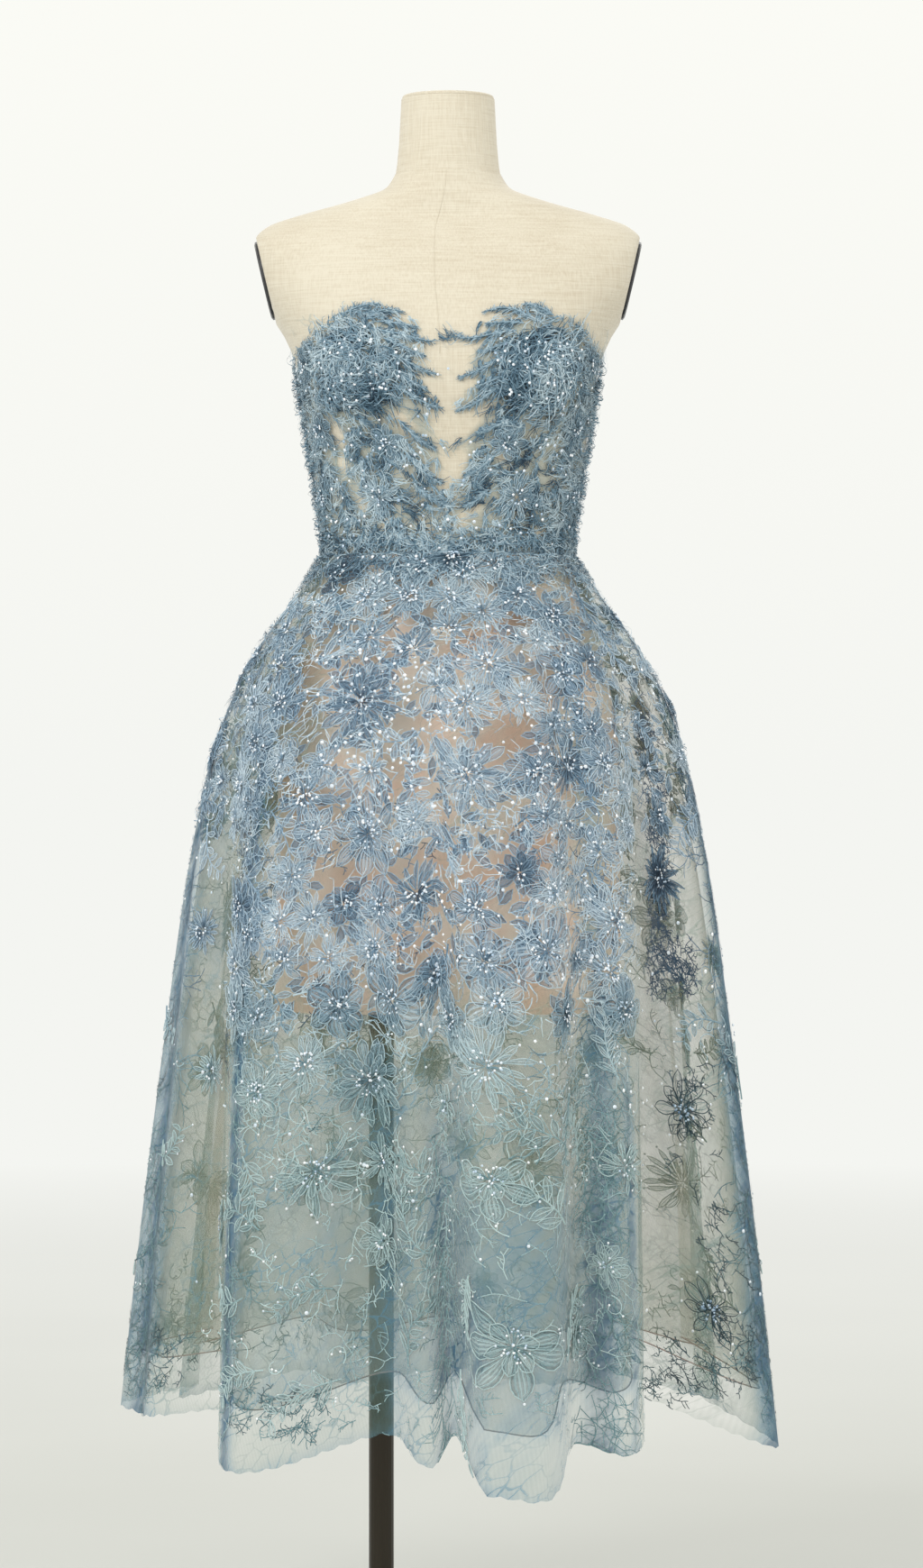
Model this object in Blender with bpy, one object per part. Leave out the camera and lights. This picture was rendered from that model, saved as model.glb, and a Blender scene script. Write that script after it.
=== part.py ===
"""A strapless lace midi dress on a limbless dress form, on an off-centre pole with a plain round base.

Metres, +Z up, origin on the floor under the form's axis. The front faces -Y and +X is the viewer's right.
Angles run round the vertical axis from the front centre, positive towards +X.
"""

import math

import bmesh
import bpy
import numpy as np
from mathutils.geometry import delaunay_2d_cdt

# ---------------------------------------------------------------- driving dimensions
WAIST_Z = 1.105
SEAM_GAP = 0.0003
HALF_GAP = SEAM_GAP / 2
LAYER_GAP = 0.0006  # between the skirts' layers at the waist, where their facets differ

# The stand
BASE_RADIUS = 0.190
BASE_THICK = 0.012
BASE_EDGE = 0.003  # its rounded edge
POLE_X = -0.0665
POLE_RADIUS = 0.0125
BOARD_THICK = 0.008
BOARD_SCALE = 0.97
NECK_BASE_Z = 1.4878
NECK_TOP_Z = 1.5635
NECK_CAP_THICK = 0.003
NECK_CAP_INSET = 0.0008  # from the neck's edge
NECK_CAP_ROUND = 0.0014  # how far its top edge is drawn in
ARMHOLE_TILT = math.radians(13.2)
ARMHOLE_AT = (0.1785, 1.370)  # x and z of a point on the flat armhole face
PLATE_THICK = 0.0035
PLATE_HALF_HEIGHT = 0.040
PLATE_HALF_DEPTH = 0.033
PLATE_CENTRE_UP = 0.013  # from ARMHOLE_AT

# Cloth walls
WALL = 0.0016  # lace and net
LINING_WALL = 0.0010  # slip and underskirt
FORM_CLEAR = 0.0005  # bodice and slip off the form
APPLIQUE_RISE = 0.0014
UNDERSKIRT_OUT = FORM_CLEAR + LINING_WALL + LAYER_GAP  # from the form to its inner face at the waist
LACE_OUT = UNDERSKIRT_OUT + LINING_WALL + LAYER_GAP

# Bust fullness of the form, and so of the bodice's cups
BUST_ANGLE = math.radians(33)
BUST_Z = 1.272
BUST_PUSH = 0.024
BUST_SPREAD_ANGLE = math.radians(24)
BUST_SPREAD_Z = 0.052

COLUMNS = 48  # round the form, the bodice and the slip
FORM_SECTION = ("z", "half_width", "front", "back", "squareness")
FORM_SECTIONS = (
    (0.8000, 0.1600, 0.1060, 0.1120, 2.30),
    (0.8600, 0.1650, 0.1140, 0.1200, 2.30),
    (0.9100, 0.1650, 0.1160, 0.1220, 2.25),
    (0.9800, 0.1560, 0.1110, 0.1130, 2.20),
    (1.0400, 0.1380, 0.1010, 0.0990, 2.10),
    (1.0850, 0.1245, 0.0930, 0.0892, 2.00),
    (WAIST_Z, 0.1220, 0.0915, 0.0875, 2.00),
    (1.1300, 0.1235, 0.0925, 0.0890, 2.05),
    (1.1800, 0.1310, 0.0980, 0.0960, 2.15),
    (1.2400, 0.1410, 0.1040, 0.1040, 2.20),
    (1.2850, 0.1480, 0.1060, 0.1090, 2.25),
    (1.3200, 0.1600, 0.1040, 0.1110, 2.30),
    (1.3500, 0.1780, 0.0980, 0.1090, 2.40),
    (1.3800, 0.1910, 0.0890, 0.1030, 2.50),
    (1.4100, 0.1960, 0.0760, 0.0930, 2.50),
    (1.4235, 0.1925, 0.0670, 0.0850, 2.50),
    (1.4355, 0.1800, 0.0590, 0.0750, 2.40),
    (1.4470, 0.1470, 0.0540, 0.0680, 2.30),
    (1.4605, 0.0990, 0.0520, 0.0610, 2.20),
    (1.4740, 0.0625, 0.0500, 0.0560, 2.10),
    (1.4875, 0.0530, 0.0480, 0.0520, 2.00),
)
FORM_BOTTOM_Z = 0.8000
FORM_TOP_Z = 1.4875
FORM_LOW_RINGS = (FORM_BOTTOM_Z, 0.880, 0.960, 1.045)
FORM_HIGH_RINGS = (1.402, 1.420, 1.4325, 1.443, 1.4535, 1.466, FORM_TOP_Z)
FORM_CHEST_SHARES = (0.5, 1.0)  # from the bodice's top edge to CHEST_Z
CHEST_Z = 1.380
NECK_SECTION = ("z", "half_width", "half_depth")
NECK_SECTIONS = (
    (NECK_BASE_Z, 0.0524, 0.0475),
    (1.4980, 0.0508, 0.0462),
    (1.5200, 0.0488, 0.0445),
    (NECK_TOP_Z, 0.0465, 0.0425),
)

# The crests of the lace skirt's flutes lie on these sections; the valleys are cut in from them.
SKIRT_SECTION = ("drop", "half_width", "front", "back")
SKIRT_SECTIONS = (
    (0.000, 0.1220, 0.0915, 0.0875),
    (0.013, 0.1300, 0.0975, 0.0935),
    (0.036, 0.1448, 0.1110, 0.1080),
    (0.081, 0.1785, 0.1430, 0.1410),
    (0.126, 0.2062, 0.1710, 0.1700),
    (0.189, 0.2300, 0.1980, 0.1990),
    (0.300, 0.2550, 0.2340, 0.2330),
    (0.480, 0.2810, 0.2750, 0.2700),
    (0.660, 0.3040, 0.3120, 0.3040),
    (0.890, 0.3300, 0.3520, 0.3400),
)
FLUTE_START = 0.045  # how far below the waist the flutes begin
FLUTE_END = 0.890
# angle and hem height are at the hem; lean is how much further round the fold stands at the waist
FLUTE = ("angle", "inset", "hem_z", "lean")
FLUTES = (
    (-180, 0.075, 0.262, 0),
    (-162, 0.008, 0.240, -2),
    (-144, 0.070, 0.266, 3),
    (-124, 0.002, 0.242, 0),
    (-110, 0.062, 0.268, -3),
    (-95, 0.000, 0.257, 0),
    (-84, 0.028, 0.254, -4),
    (-67, 0.098, 0.268, -8),
    (-43, 0.044, 0.226, -11),
    (-13, 0.122, 0.263, -12),
    (-3.5, 0.080, 0.238, -10),
    (1.5, 0.096, 0.268, -7),
    (6.5, 0.008, 0.222, -3),
    (14, 0.000, 0.217, 12),
    (27, 0.080, 0.257, 12),
    (35, 0.052, 0.245, 9),
    (60, 0.126, 0.282, 6),
    (83, 0.004, 0.224, 2),
    (104, 0.076, 0.262, 0),
    (124, 0.002, 0.240, 3),
    (143, 0.072, 0.266, -2),
    (161, 0.008, 0.238, 2),
    (180, 0.075, 0.262, 0),
)
SKIRT_ROWS = (0.0, 0.02, 0.055, 0.105, 0.175, 0.29, 0.45, 0.64, 0.83, 1.0)
SIDE_SEAMS = (-110, 104)
COLUMN_DEG = 5.6  # widest step between the skirt's columns
FLANK_STEPS = 3  # fewest steps between a crest and the next valley

UNDERSKIRT_ROWS = (0.0, 0.05, 0.11, 0.21, 0.42, 0.70, 1.0)
UNDERSKIRT_SHORT = 0.058  # its hem above the lace hem
UNDERSKIRT_INSET = 0.011  # from the lace skirt, once clear of the waist
UNDERSKIRT_SEAM = 90

SLIP_HEM_Z = 0.655
SLIP_EASE = 0.0060
SLIP_HIP_Z = 0.905
SLIP_ROWS = (0.0, 0.10, 0.24, 0.42, 0.66, 1.0)

# The bodice's top edge, mirrored left to right
TOP_EDGE = ("angle", "z")
TOP_EDGES = (
    (0, 1.3180),
    (20, 1.3440),
    (45, 1.3420),
    (75, 1.3260),
    (110, 1.2900),
    (180, 1.2650),
)
BODICE_ROWS = (0.0, 0.12, 0.27, 0.43, 0.58, 0.71, 0.85, 1.0)
PRINCESS_SEAM = 37.5
BODICE_SIDE_SEAM = 90

# Thick corded flowers that are raised on the cloth: angle at the hem, height below the waist along
# the cloth, radius, number of petals, turn in degrees
SKIRT_FLOWERS_FRONT = (
    (-18, 0.165, 0.044, 8, 0),
    (10, 0.130, 0.036, 7, 20),
    (7, 0.245, 0.043, 8, 10),
    (-52, 0.210, 0.034, 6, 15),
    (-14, 0.295, 0.040, 7, 30),
    (14, 0.420, 0.046, 5, 5),
    (-8, 0.455, 0.040, 8, 25),
    (-20, 0.545, 0.044, 8, 12),
    (9, 0.530, 0.044, 8, 35),
    (55, 0.330, 0.036, 7, 10),
    (9, 0.645, 0.040, 7, 8),
    (-27, 0.700, 0.040, 7, 50),
    (10, 0.795, 0.050, 6, 22),
    (58, 0.560, 0.040, 7, 22),
    (60, 0.760, 0.042, 8, 5),
)
# On each side of the back, for a row of two flowers: height below the waist, radius, petals, angles
BACK_FLOWER_ROWS = (
    (0.160, 0.036, 7, (128, 160)),
    (0.400, 0.042, 8, (122, 150)),
    (0.680, 0.042, 7, (126, 162)),
)
# On each side of the bodice: angle, height above the waist, radius, petals, turn
BODICE_FLOWERS = (
    (34, 0.168, 0.030, 8, 0),
    (58, 0.120, 0.024, 6, 30),
    (62, 0.185, 0.024, 6, 10),
    (22, 0.100, 0.022, 6, 20),
    (30, 0.045, 0.024, 7, 0),
    (70, 0.055, 0.024, 7, 25),
    (118, 0.120, 0.028, 7, 0),
    (148, 0.075, 0.028, 7, 15),
    (112, 0.045, 0.024, 6, 20),
)

# The centre-back zip
ZIP_WIDTH = 0.0042
ZIP_THICK = 0.0012
ZIP_BELOW_WAIST = 0.160
ZIP_TOP_MARGIN = 0.004
ZIP_BLEND = 0.012  # over which it passes from the bodice to the skirt
SLIDER_SIZE = (0.0060, 0.0024, 0.0095)
SLIDER_BELOW_TOP = 0.012
BRIDGE_WIDTH = 0.0016
BRIDGE_RISE = 0.0030
BRIDGE_BAR = 0.0010
BRIDGE_LENGTH = 0.0070
BRIDGE_ROOT = 0.0002  # how deep its feet reach into the slider
PIN_RADIUS = 0.00045
PULL_ARM_X = 0.0016
PULL_ARM_WIDTH = 0.0009
PULL_THICK = 0.0010
PULL_LENGTH = 0.024
PULL_TAB_LENGTH = 0.017
PULL_TAB_WIDTH = 0.0058
PULL_SLOT_SHORT = 0.001  # how far above the tab the slot between its arms ends
PULL_EYE = 0.0006  # how far the arms reach above the pin

FABRIC_BLUE = (0.36, 0.50, 0.60)
ORGANZA = (0.78, 0.70, 0.64)
NUDE = (0.80, 0.60, 0.48)
LINEN = (0.86, 0.80, 0.69)
DARK_METAL = (0.06, 0.055, 0.045)
PLATE_METAL = (0.20, 0.20, 0.21)
ZIP_METAL = (0.62, 0.66, 0.70)


# ---------------------------------------------------------------- helpers
def smooth_through(xs, ys, at):
    """A curve through the points that never overshoots them (monotone cubic)."""
    xs, ys, at = (np.asarray(a, float) for a in (xs, ys, at))
    step = np.diff(xs)
    slope = np.diff(ys) / step
    tangent = np.zeros_like(ys)
    same_way = slope[:-1] * slope[1:] > 0
    weight_a = 2 * step[1:] + step[:-1]
    weight_b = step[1:] + 2 * step[:-1]
    with np.errstate(divide="ignore", invalid="ignore"):
        mean = (weight_a + weight_b) / (weight_a / slope[:-1] + weight_b / slope[1:])
    tangent[1:-1] = np.where(same_way, mean, 0.0)
    tangent[0], tangent[-1] = slope[0], slope[-1]
    at = np.clip(at, xs[0], xs[-1])
    i = np.clip(np.searchsorted(xs, at, side="right") - 1, 0, len(step) - 1)
    t = (at - xs[i]) / step[i]
    return (
        ys[i] * (1 + 2 * t) * (1 - t) ** 2
        + ys[i + 1] * t * t * (3 - 2 * t)
        + step[i] * (tangent[i] * t * (1 - t) ** 2 - tangent[i + 1] * t * t * (1 - t))
    )


def column_of(rows, names, name):
    return [row[names.index(name)] for row in rows]


def table_value(rows, names, name, at):
    """The named column of a table, read smoothly at a value of its first column."""
    return smooth_through(column_of(rows, names, names[0]), column_of(rows, names, name), at)


def signed_power(value, power):
    return np.sign(value) * np.abs(value) ** power


def form_xy(angle, z):
    """The form's surface at an angle round the axis, in radians, and a height."""
    angle = (np.asarray(angle, float) + math.pi) % (2 * math.pi) - math.pi
    half_width, front, back, square = (
        table_value(FORM_SECTIONS, FORM_SECTION, name, z) for name in FORM_SECTION[1:]
    )
    depth = np.where(np.abs(angle) < math.pi / 2, front, back)
    x = half_width * signed_power(np.sin(angle), 2 / square)
    y = -depth * signed_power(np.cos(angle), 2 / square)
    away = (np.abs(angle) - BUST_ANGLE) / BUST_SPREAD_ANGLE
    push = BUST_PUSH * np.exp(-(away**2) - ((z - BUST_Z) / BUST_SPREAD_Z) ** 2)
    return x + push * np.sin(angle), y - push * np.cos(angle)


def flute_value(name, angle_deg):
    """Inset, hem height or lean round the hem: half a cosine wave from each row to the next."""
    angles = np.array(column_of(FLUTES, FLUTE, "angle"), float)
    values = np.array(column_of(FLUTES, FLUTE, name), float)
    angle_deg = (np.asarray(angle_deg, float) + 180) % 360 - 180
    i = np.clip(np.searchsorted(angles, angle_deg, side="right") - 1, 0, len(angles) - 2)
    t = (angle_deg - angles[i]) / (angles[i + 1] - angles[i])
    ease = (1 - np.cos(np.pi * t)) / 2
    return values[i] + (values[i + 1] - values[i]) * ease


def fold_angles():
    """Column angles in degrees: every crest and valley, and even steps between each two."""
    angles = column_of(FLUTES, FLUTE, "angle")
    found = []
    for a, b in zip(angles, angles[1:]):
        steps = max(FLANK_STEPS, math.ceil((b - a) / COLUMN_DEG))
        found += [a + (b - a) * k / steps for k in range(steps)]
    return np.array(found, float)


def skirt_xyz(angle_deg, share, short=0.0, out=0.0):
    """The lace skirt, by an angle at the hem and a share from 0 at the waist seam to 1 at the hem."""
    angle_deg, share = np.broadcast_arrays(np.asarray(angle_deg, float), np.asarray(share, float))
    top = WAIST_Z - HALF_GAP
    z = top - share * (top - flute_value("hem_z", angle_deg) - short)
    drop = WAIST_Z - z
    half_width, front, back = (
        table_value(SKIRT_SECTIONS, SKIRT_SECTION, name, drop) for name in SKIRT_SECTION[1:]
    )
    angle = np.radians(angle_deg + flute_value("lean", angle_deg) * (1 - share))
    depth = np.where(np.cos(angle) > 0, front, back)
    crest = 1 / np.sqrt((np.sin(angle) / half_width) ** 2 + (np.cos(angle) / depth) ** 2)
    grow = np.clip((drop - FLUTE_START) / (FLUTE_END - FLUTE_START), 0, 1)
    radius = crest - flute_value("inset", angle_deg) * grow + out
    return np.stack([radius * np.sin(angle), -radius * np.cos(angle), z], -1)


def ring_normals(grid):
    """Outward level normals of closed rings, as rows x columns x 3 points."""
    along = np.roll(grid, -1, axis=1) - np.roll(grid, 1, axis=1)
    normal = np.stack([along[..., 1], -along[..., 0], np.zeros(grid.shape[:2])], -1)
    return normal / np.linalg.norm(normal, axis=-1, keepdims=True)


def make_material(name, colour, roughness, metallic=0.0):
    material = bpy.data.materials.new(name)
    material.use_nodes = True
    shader = material.node_tree.nodes["Principled BSDF"]
    shader.inputs["Base Color"].default_value = (*colour, 1)
    shader.inputs["Roughness"].default_value = roughness
    shader.inputs["Metallic"].default_value = metallic
    return material


def add_object(name, points, faces, material, sharp_deg=35):
    mesh = bpy.data.meshes.new(name)
    mesh.from_pydata([tuple(map(float, p)) for p in points], [], faces)
    tidy = bmesh.new()
    tidy.from_mesh(mesh)
    bmesh.ops.recalc_face_normals(tidy, faces=tidy.faces)
    tidy.to_mesh(mesh)
    tidy.free()
    mesh.shade_smooth()
    mesh.set_sharp_from_angle(angle=math.radians(sharp_deg))
    mesh.materials.append(material)
    obj = bpy.data.objects.new(name, mesh)
    bpy.context.scene.collection.objects.link(obj)
    return obj


def loft(name, rings, material, sharp_deg=35):
    """A closed solid through rings of equal length, flat at both ends."""
    count, around = len(rings), len(rings[0])
    points = [p for ring in rings for p in ring]
    faces = []
    for low in range(0, (count - 1) * around, around):
        for j in range(around):
            k = (j + 1) % around
            faces.append((low + j, low + k, low + around + k, low + around + j))
    faces.append(tuple(range(around)))
    faces.append(tuple(range((count - 1) * around, count * around)))
    return add_object(name, points, faces, material, sharp_deg)


def ellipse_ring(half_width, half_depth, z, count, centre_x=0.0):
    return [
        (centre_x + half_width * math.sin(a), -half_depth * math.cos(a), z)
        for a in (2 * math.pi * k / count for k in range(count))
    ]


# ---------------------------------------------------------------- walls with raised flowers
class Chart:
    """A panel's grid of base points, read between its points. A place is (column, share of the rows)."""

    def __init__(self, grid, normals, shares):
        self.grid, self.normals, self.shares = grid, normals, np.asarray(shares, float)
        steps = np.linalg.norm(np.diff(grid, axis=1), axis=-1)
        self.along = np.concatenate([np.zeros((len(grid), 1)), np.cumsum(steps, axis=1)], axis=1)
        self.length = float(np.linalg.norm(np.diff(grid, axis=0), axis=-1).sum(axis=0).mean())

    def row_of(self, share):
        i = int(np.clip(np.searchsorted(self.shares, share, side="right") - 1, 0, len(self.shares) - 2))
        return i, (share - self.shares[i]) / (self.shares[i + 1] - self.shares[i])

    def along_row(self, share):
        i, t = self.row_of(share)
        return self.along[i] * (1 - t) + self.along[i + 1] * t

    def place(self, column, share, dx, dy):
        """The place that is dx along the row and dy down the cloth from another."""
        share = share + dy / self.length
        row = self.along_row(share)
        columns = np.arange(len(row))
        return float(np.interp(np.interp(column, columns, row) + dx, row, columns)), share

    def offset(self, column, share, to_column, to_share):
        row = self.along_row(to_share)
        columns = np.arange(len(row))
        dx = np.interp(to_column, columns, row) - np.interp(column, columns, row)
        return float(dx), (to_share - share) * self.length

    def point(self, column, share, height):
        """A point over the cell's two flat triangles, which meet on its diagonal from (i, j)."""
        i, t = self.row_of(share)
        j = int(np.clip(math.floor(column), 0, self.grid.shape[1] - 2))
        u = column - j
        corner = np.array([1 - max(t, u), max(u - t, 0.0), max(t - u, 0.0), min(t, u)])[:, None]
        cells = ((i, j), (i, j + 1), (i + 1, j), (i + 1, j + 1))
        base = (corner * np.array([self.grid[c] for c in cells])).sum(axis=0)
        normal = (corner * np.array([self.normals[c] for c in cells])).sum(axis=0)
        return base + normal / np.linalg.norm(normal) * height


class Flower:
    """A round corded flower: petals rise from its outline, and its eye stands highest."""

    RIM = 0.72  # where the petals reach their height, as a share of the outline
    MARGIN = 0.006  # least cloth between a flower and its panel's edge

    def __init__(self, chart, column, share, radius, petals, turn_deg):
        self.chart = chart
        self.radius, self.petals, self.turn = radius, petals, math.radians(turn_deg)
        reach = radius + self.MARGIN
        self.share = float(np.clip(share, reach / chart.length, 1 - reach / chart.length))
        rows = [chart.along_row(self.share + sign * reach / chart.length) for sign in (-1, 0, 1)]
        columns = np.arange(chart.grid.shape[1])
        low = max(float(np.interp(reach, row, columns)) for row in rows)
        high = min(float(np.interp(row[-1] - reach, row, columns)) for row in rows)
        self.column = float(np.clip(column, low, high))

    def outline(self, angle):
        wave = abs(math.cos(self.petals * (angle - self.turn) / 2))
        return self.radius * (0.66 + 0.34 * wave**0.5)

    def ring(self, scale, per_petal):
        count = self.petals * per_petal
        found = []
        for k in range(count):
            angle = self.turn + 2 * math.pi * k / count
            dx = self.outline(angle) * scale * math.sin(angle)
            dy = self.outline(angle) * scale * math.cos(angle)
            found.append(self.chart.place(self.column, self.share, dx, dy))
        return found

    def rings(self):
        return [self.ring(1.0, 2), self.ring(self.RIM, 1)]

    def height(self, column, share):
        dx, dy = self.chart.offset(self.column, self.share, column, share)
        reach = math.hypot(dx, dy)
        outline = self.outline(math.atan2(dx, dy))
        if reach >= outline:
            return 0.0
        rise = min(1.0, (1 - reach / outline) / (1 - self.RIM))
        return APPLIQUE_RISE * (rise + 0.5 * max(0.0, 1 - reach / (outline * self.RIM)))


def relief_wall(name, grid, normals, shares, thick, flowers, material):
    """A cloth wall: a plain inner face on the grid, and an outer face with raised flowers."""
    rows, columns = grid.shape[:2]
    outer = Chart(grid + normals * thick, normals, shares)
    motifs = [Flower(outer, *flower) for flower in flowers]
    cell = float(outer.along[-1, -1]) / (columns - 1)

    flat, links = [], []

    def add_place(column, share):
        flat.append((column * cell, share * outer.length))
        return len(flat) - 1

    knots = {(i, j): add_place(j, share) for i, share in enumerate(shares) for j in range(columns)}
    for (i, j), knot in knots.items():
        if i + 1 < rows:
            links.append((knot, knots[i + 1, j]))
        if j + 1 < columns and i in (0, rows - 1):
            links.append((knot, knots[i, j + 1]))
        if i + 1 < rows and j + 1 < columns:
            links.append((knot, knots[i + 1, j + 1]))
    for motif in motifs:
        for ring in motif.rings():
            ids = [add_place(*place) for place in ring]
            links += list(zip(ids, ids[1:] + ids[:1]))
        add_place(motif.column, motif.share)

    flat_points, _, faces = delaunay_2d_cdt(flat, links, [], 0, 1e-6)[:3]
    places = [(p[0] / cell, min(max(p[1] / outer.length, 0.0), 1.0)) for p in flat_points]
    points = [
        outer.point(column, share, max([m.height(column, share) for m in motifs], default=0.0))
        for column, share in places
    ]
    faces = [tuple(face) for face in faces]

    outer_id = {(round(column, 3), round(share, 4)): k for k, (column, share) in enumerate(places)}
    inner_start = len(points)
    points += [p for row in grid for p in row]

    def inner(i, j):
        return inner_start + i * columns + j

    def outside(i, j):
        return outer_id[(round(float(j), 3), round(float(shares[i]), 4))]

    for i in range(rows - 1):
        for j in range(columns - 1):
            near, across = inner(i, j), inner(i + 1, j + 1)
            faces += [(near, inner(i + 1, j), across), (near, across, inner(i, j + 1))]
    border = [(0, j) for j in range(columns)]
    border += [(i, columns - 1) for i in range(1, rows)]
    border += [(rows - 1, j) for j in range(columns - 2, -1, -1)]
    border += [(i, 0) for i in range(rows - 2, 0, -1)]
    for a, b in zip(border, border[1:] + border[:1]):
        faces.append((outside(*a), outside(*b), inner(*b), inner(*a)))
    return add_object(name, points, faces, material, sharp_deg=60)


def cut_panel(grid, normals, first, last):
    """Columns first to last of closed rings, counted past the end, drawn in at both side seams."""
    count = grid.shape[1]
    picked = [k % count for k in range(first, last + 1)]
    panel, panel_normals = grid[:, picked].copy(), normals[:, picked]
    for edge, inward in ((0, 1), (-1, -2)):
        step = panel[:, inward] - panel[:, edge]
        panel[:, edge] += step / np.linalg.norm(step, axis=-1, keepdims=True) * HALF_GAP
    return panel, panel_normals


def nearest_column(angles, wanted):
    gap = np.abs((np.asarray(angles) - wanted + 180) % 360 - 180)
    return int(np.argmin(gap))


# ---------------------------------------------------------------- the stand
def form_rings():
    """The torso's rings, bottom to top. Under the bodice they follow the bodice's rows."""
    angles, edge = column_angles(), top_edge_z(column_angles())
    heights = [np.full(COLUMNS, z) for z in FORM_LOW_RINGS]
    heights += [WAIST_Z + share * (edge - WAIST_Z) for share in BODICE_ROWS]
    heights += [edge + share * (CHEST_Z - edge) for share in FORM_CHEST_SHARES]
    heights += [np.full(COLUMNS, z) for z in FORM_HIGH_RINGS]
    return np.array([np.stack([*form_xy(np.radians(angles), z), z], -1) for z in heights])


def build_stand(linen, dark, plate):
    rings = form_rings()
    torso = loft("form_torso", rings, linen, sharp_deg=50)
    for side in (-1, 1):
        cutter = armhole_cutter(side, linen)
        cutter.hide_render = True
        cutter.display_type = "WIRE"
        cut = torso.modifiers.new(cutter.name, "BOOLEAN")
        cut.operation = "DIFFERENCE"
        cut.object = cutter

    neck = [ellipse_ring(half_width, half_depth, z, 32) for z, half_width, half_depth in NECK_SECTIONS]
    loft("form_neck", neck, linen)
    _, neck_width, neck_depth = NECK_SECTIONS[-1]
    cap = []
    for up, draw_in in ((0.0, 0.0), (0.6, 0.0), (1.0, NECK_CAP_ROUND)):
        inset = NECK_CAP_INSET + draw_in
        z = NECK_TOP_Z + SEAM_GAP + up * NECK_CAP_THICK
        cap.append(ellipse_ring(neck_width - inset, neck_depth - inset, z, 32))
    loft("form_neck_cap", cap, linen)
    for side, word in ((-1, "left"), (1, "right")):
        armhole_plate(f"form_armhole_plate_{word}", side, plate)

    board_top = FORM_BOTTOM_Z - SEAM_GAP
    board = []
    for z, scale in ((board_top - BOARD_THICK, BOARD_SCALE), (board_top, BOARD_SCALE)):
        board.append([(x * scale, y * scale, z) for x, y, _ in rings[0]])
    loft("form_bottom_board", board, linen)

    pole_top = board_top - BOARD_THICK - SEAM_GAP
    pole_rings = []
    for z in (BASE_THICK + SEAM_GAP, pole_top):
        pole_rings.append(ellipse_ring(POLE_RADIUS, POLE_RADIUS, z, 20, POLE_X))
    loft("stand_pole", pole_rings, dark)
    base = []
    for z, inset in (
        (0.0, BASE_EDGE / 2),
        (BASE_EDGE / 2, 0.0),
        (BASE_THICK - BASE_EDGE, 0.0),
        (BASE_THICK, BASE_EDGE),
    ):
        base.append(ellipse_ring(BASE_RADIUS - inset, BASE_RADIUS - inset, z, 48))
    loft("stand_base", base, dark)


def armhole_axes(side):
    """A point on the armhole's flat face, the way out of it and the way up it."""
    origin = np.array([side * ARMHOLE_AT[0], 0.0, ARMHOLE_AT[1]])
    out = np.array([side * math.cos(ARMHOLE_TILT), 0.0, -math.sin(ARMHOLE_TILT)])
    up = np.array([side * math.sin(ARMHOLE_TILT), 0.0, math.cos(ARMHOLE_TILT)])
    return origin, out, up


def armhole_cutter(side, material):
    """A box on the outer side of the armhole's flat face."""
    origin, out, up = armhole_axes(side)
    back = np.array([0, 1, 0])
    half, reach = 0.12, 0.2
    points = [
        origin + out * o + up * u * half + back * v * half
        for o in (0.0, reach)
        for u, v in ((-1, -1), (1, -1), (1, 1), (-1, 1))
    ]
    faces = [(0, 1, 2, 3), (4, 7, 6, 5), (0, 4, 5, 1), (1, 5, 6, 2), (2, 6, 7, 3), (3, 7, 4, 0)]
    return add_object(f"armhole_cutter_{'left' if side < 0 else 'right'}", points, faces, material)


def armhole_plate(name, side, material):
    """An oval plate that covers the armhole's flat face."""
    origin, out, up = armhole_axes(side)
    back = np.array([0, 1, 0])
    around, top_scale = 28, 0.93
    rings = []
    for off, scale in ((SEAM_GAP, 1.0), (PLATE_THICK * 0.6, 1.0), (PLATE_THICK, top_scale)):
        ring = []
        for angle in (2 * math.pi * k / around for k in range(around)):
            up_by = PLATE_CENTRE_UP + PLATE_HALF_HEIGHT * scale * math.cos(angle)
            back_by = PLATE_HALF_DEPTH * scale * math.sin(angle)
            ring.append(origin + out * off + up * up_by + back * back_by)
        rings.append(ring)
    return loft(name, rings, material)


# ---------------------------------------------------------------- the dress
def build_lace_skirt(material):
    """Three panels. Their inner face starts outside the slip and the underskirt at the waist."""
    angles = fold_angles()
    grid = skirt_xyz(angles[None, :], np.array(SKIRT_ROWS)[:, None], out=LACE_OUT)
    normals = ring_normals(grid)
    left, right = (nearest_column(angles, a) for a in SIDE_SEAMS)
    count = len(angles)
    panels = {
        "skirt_lace_front": (left, right),
        "skirt_lace_back_right": (right, count),
        "skirt_lace_back_left": (count, count + left),
    }
    back = [
        (side * angle, drop, radius, petals, 7 * angle)
        for drop, radius, petals, row in BACK_FLOWER_ROWS
        for angle in row
        for side in (-1, 1)
    ]
    for name, (first, last) in panels.items():
        panel, panel_normals = cut_panel(grid, normals, first, last)
        panel_angles = [angles[k % count] for k in range(first, last + 1)]
        flowers = skirt_flowers(panel_angles, SKIRT_FLOWERS_FRONT if "front" in name else back)
        relief_wall(name, panel, panel_normals, SKIRT_ROWS, WALL, flowers, material)


def skirt_flowers(panel_angles, rows):
    """Flowers of the table that lie on this panel, as (column, share, radius, petals, turn)."""
    start = panel_angles[0]
    turned = [(a - start) % 360 for a in panel_angles]
    if turned[-1] < turned[-2]:
        turned[-1] += 360
    found = []
    for angle, drop, radius, petals, turn in rows:
        at = (angle - start) % 360
        if turned[0] < at < turned[-1]:
            column = float(np.interp(at, turned, np.arange(len(turned))))
            share = drop / (WAIST_Z - float(flute_value("hem_z", angle)))
            found.append((column, share, radius, petals, turn))
    return found


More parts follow.
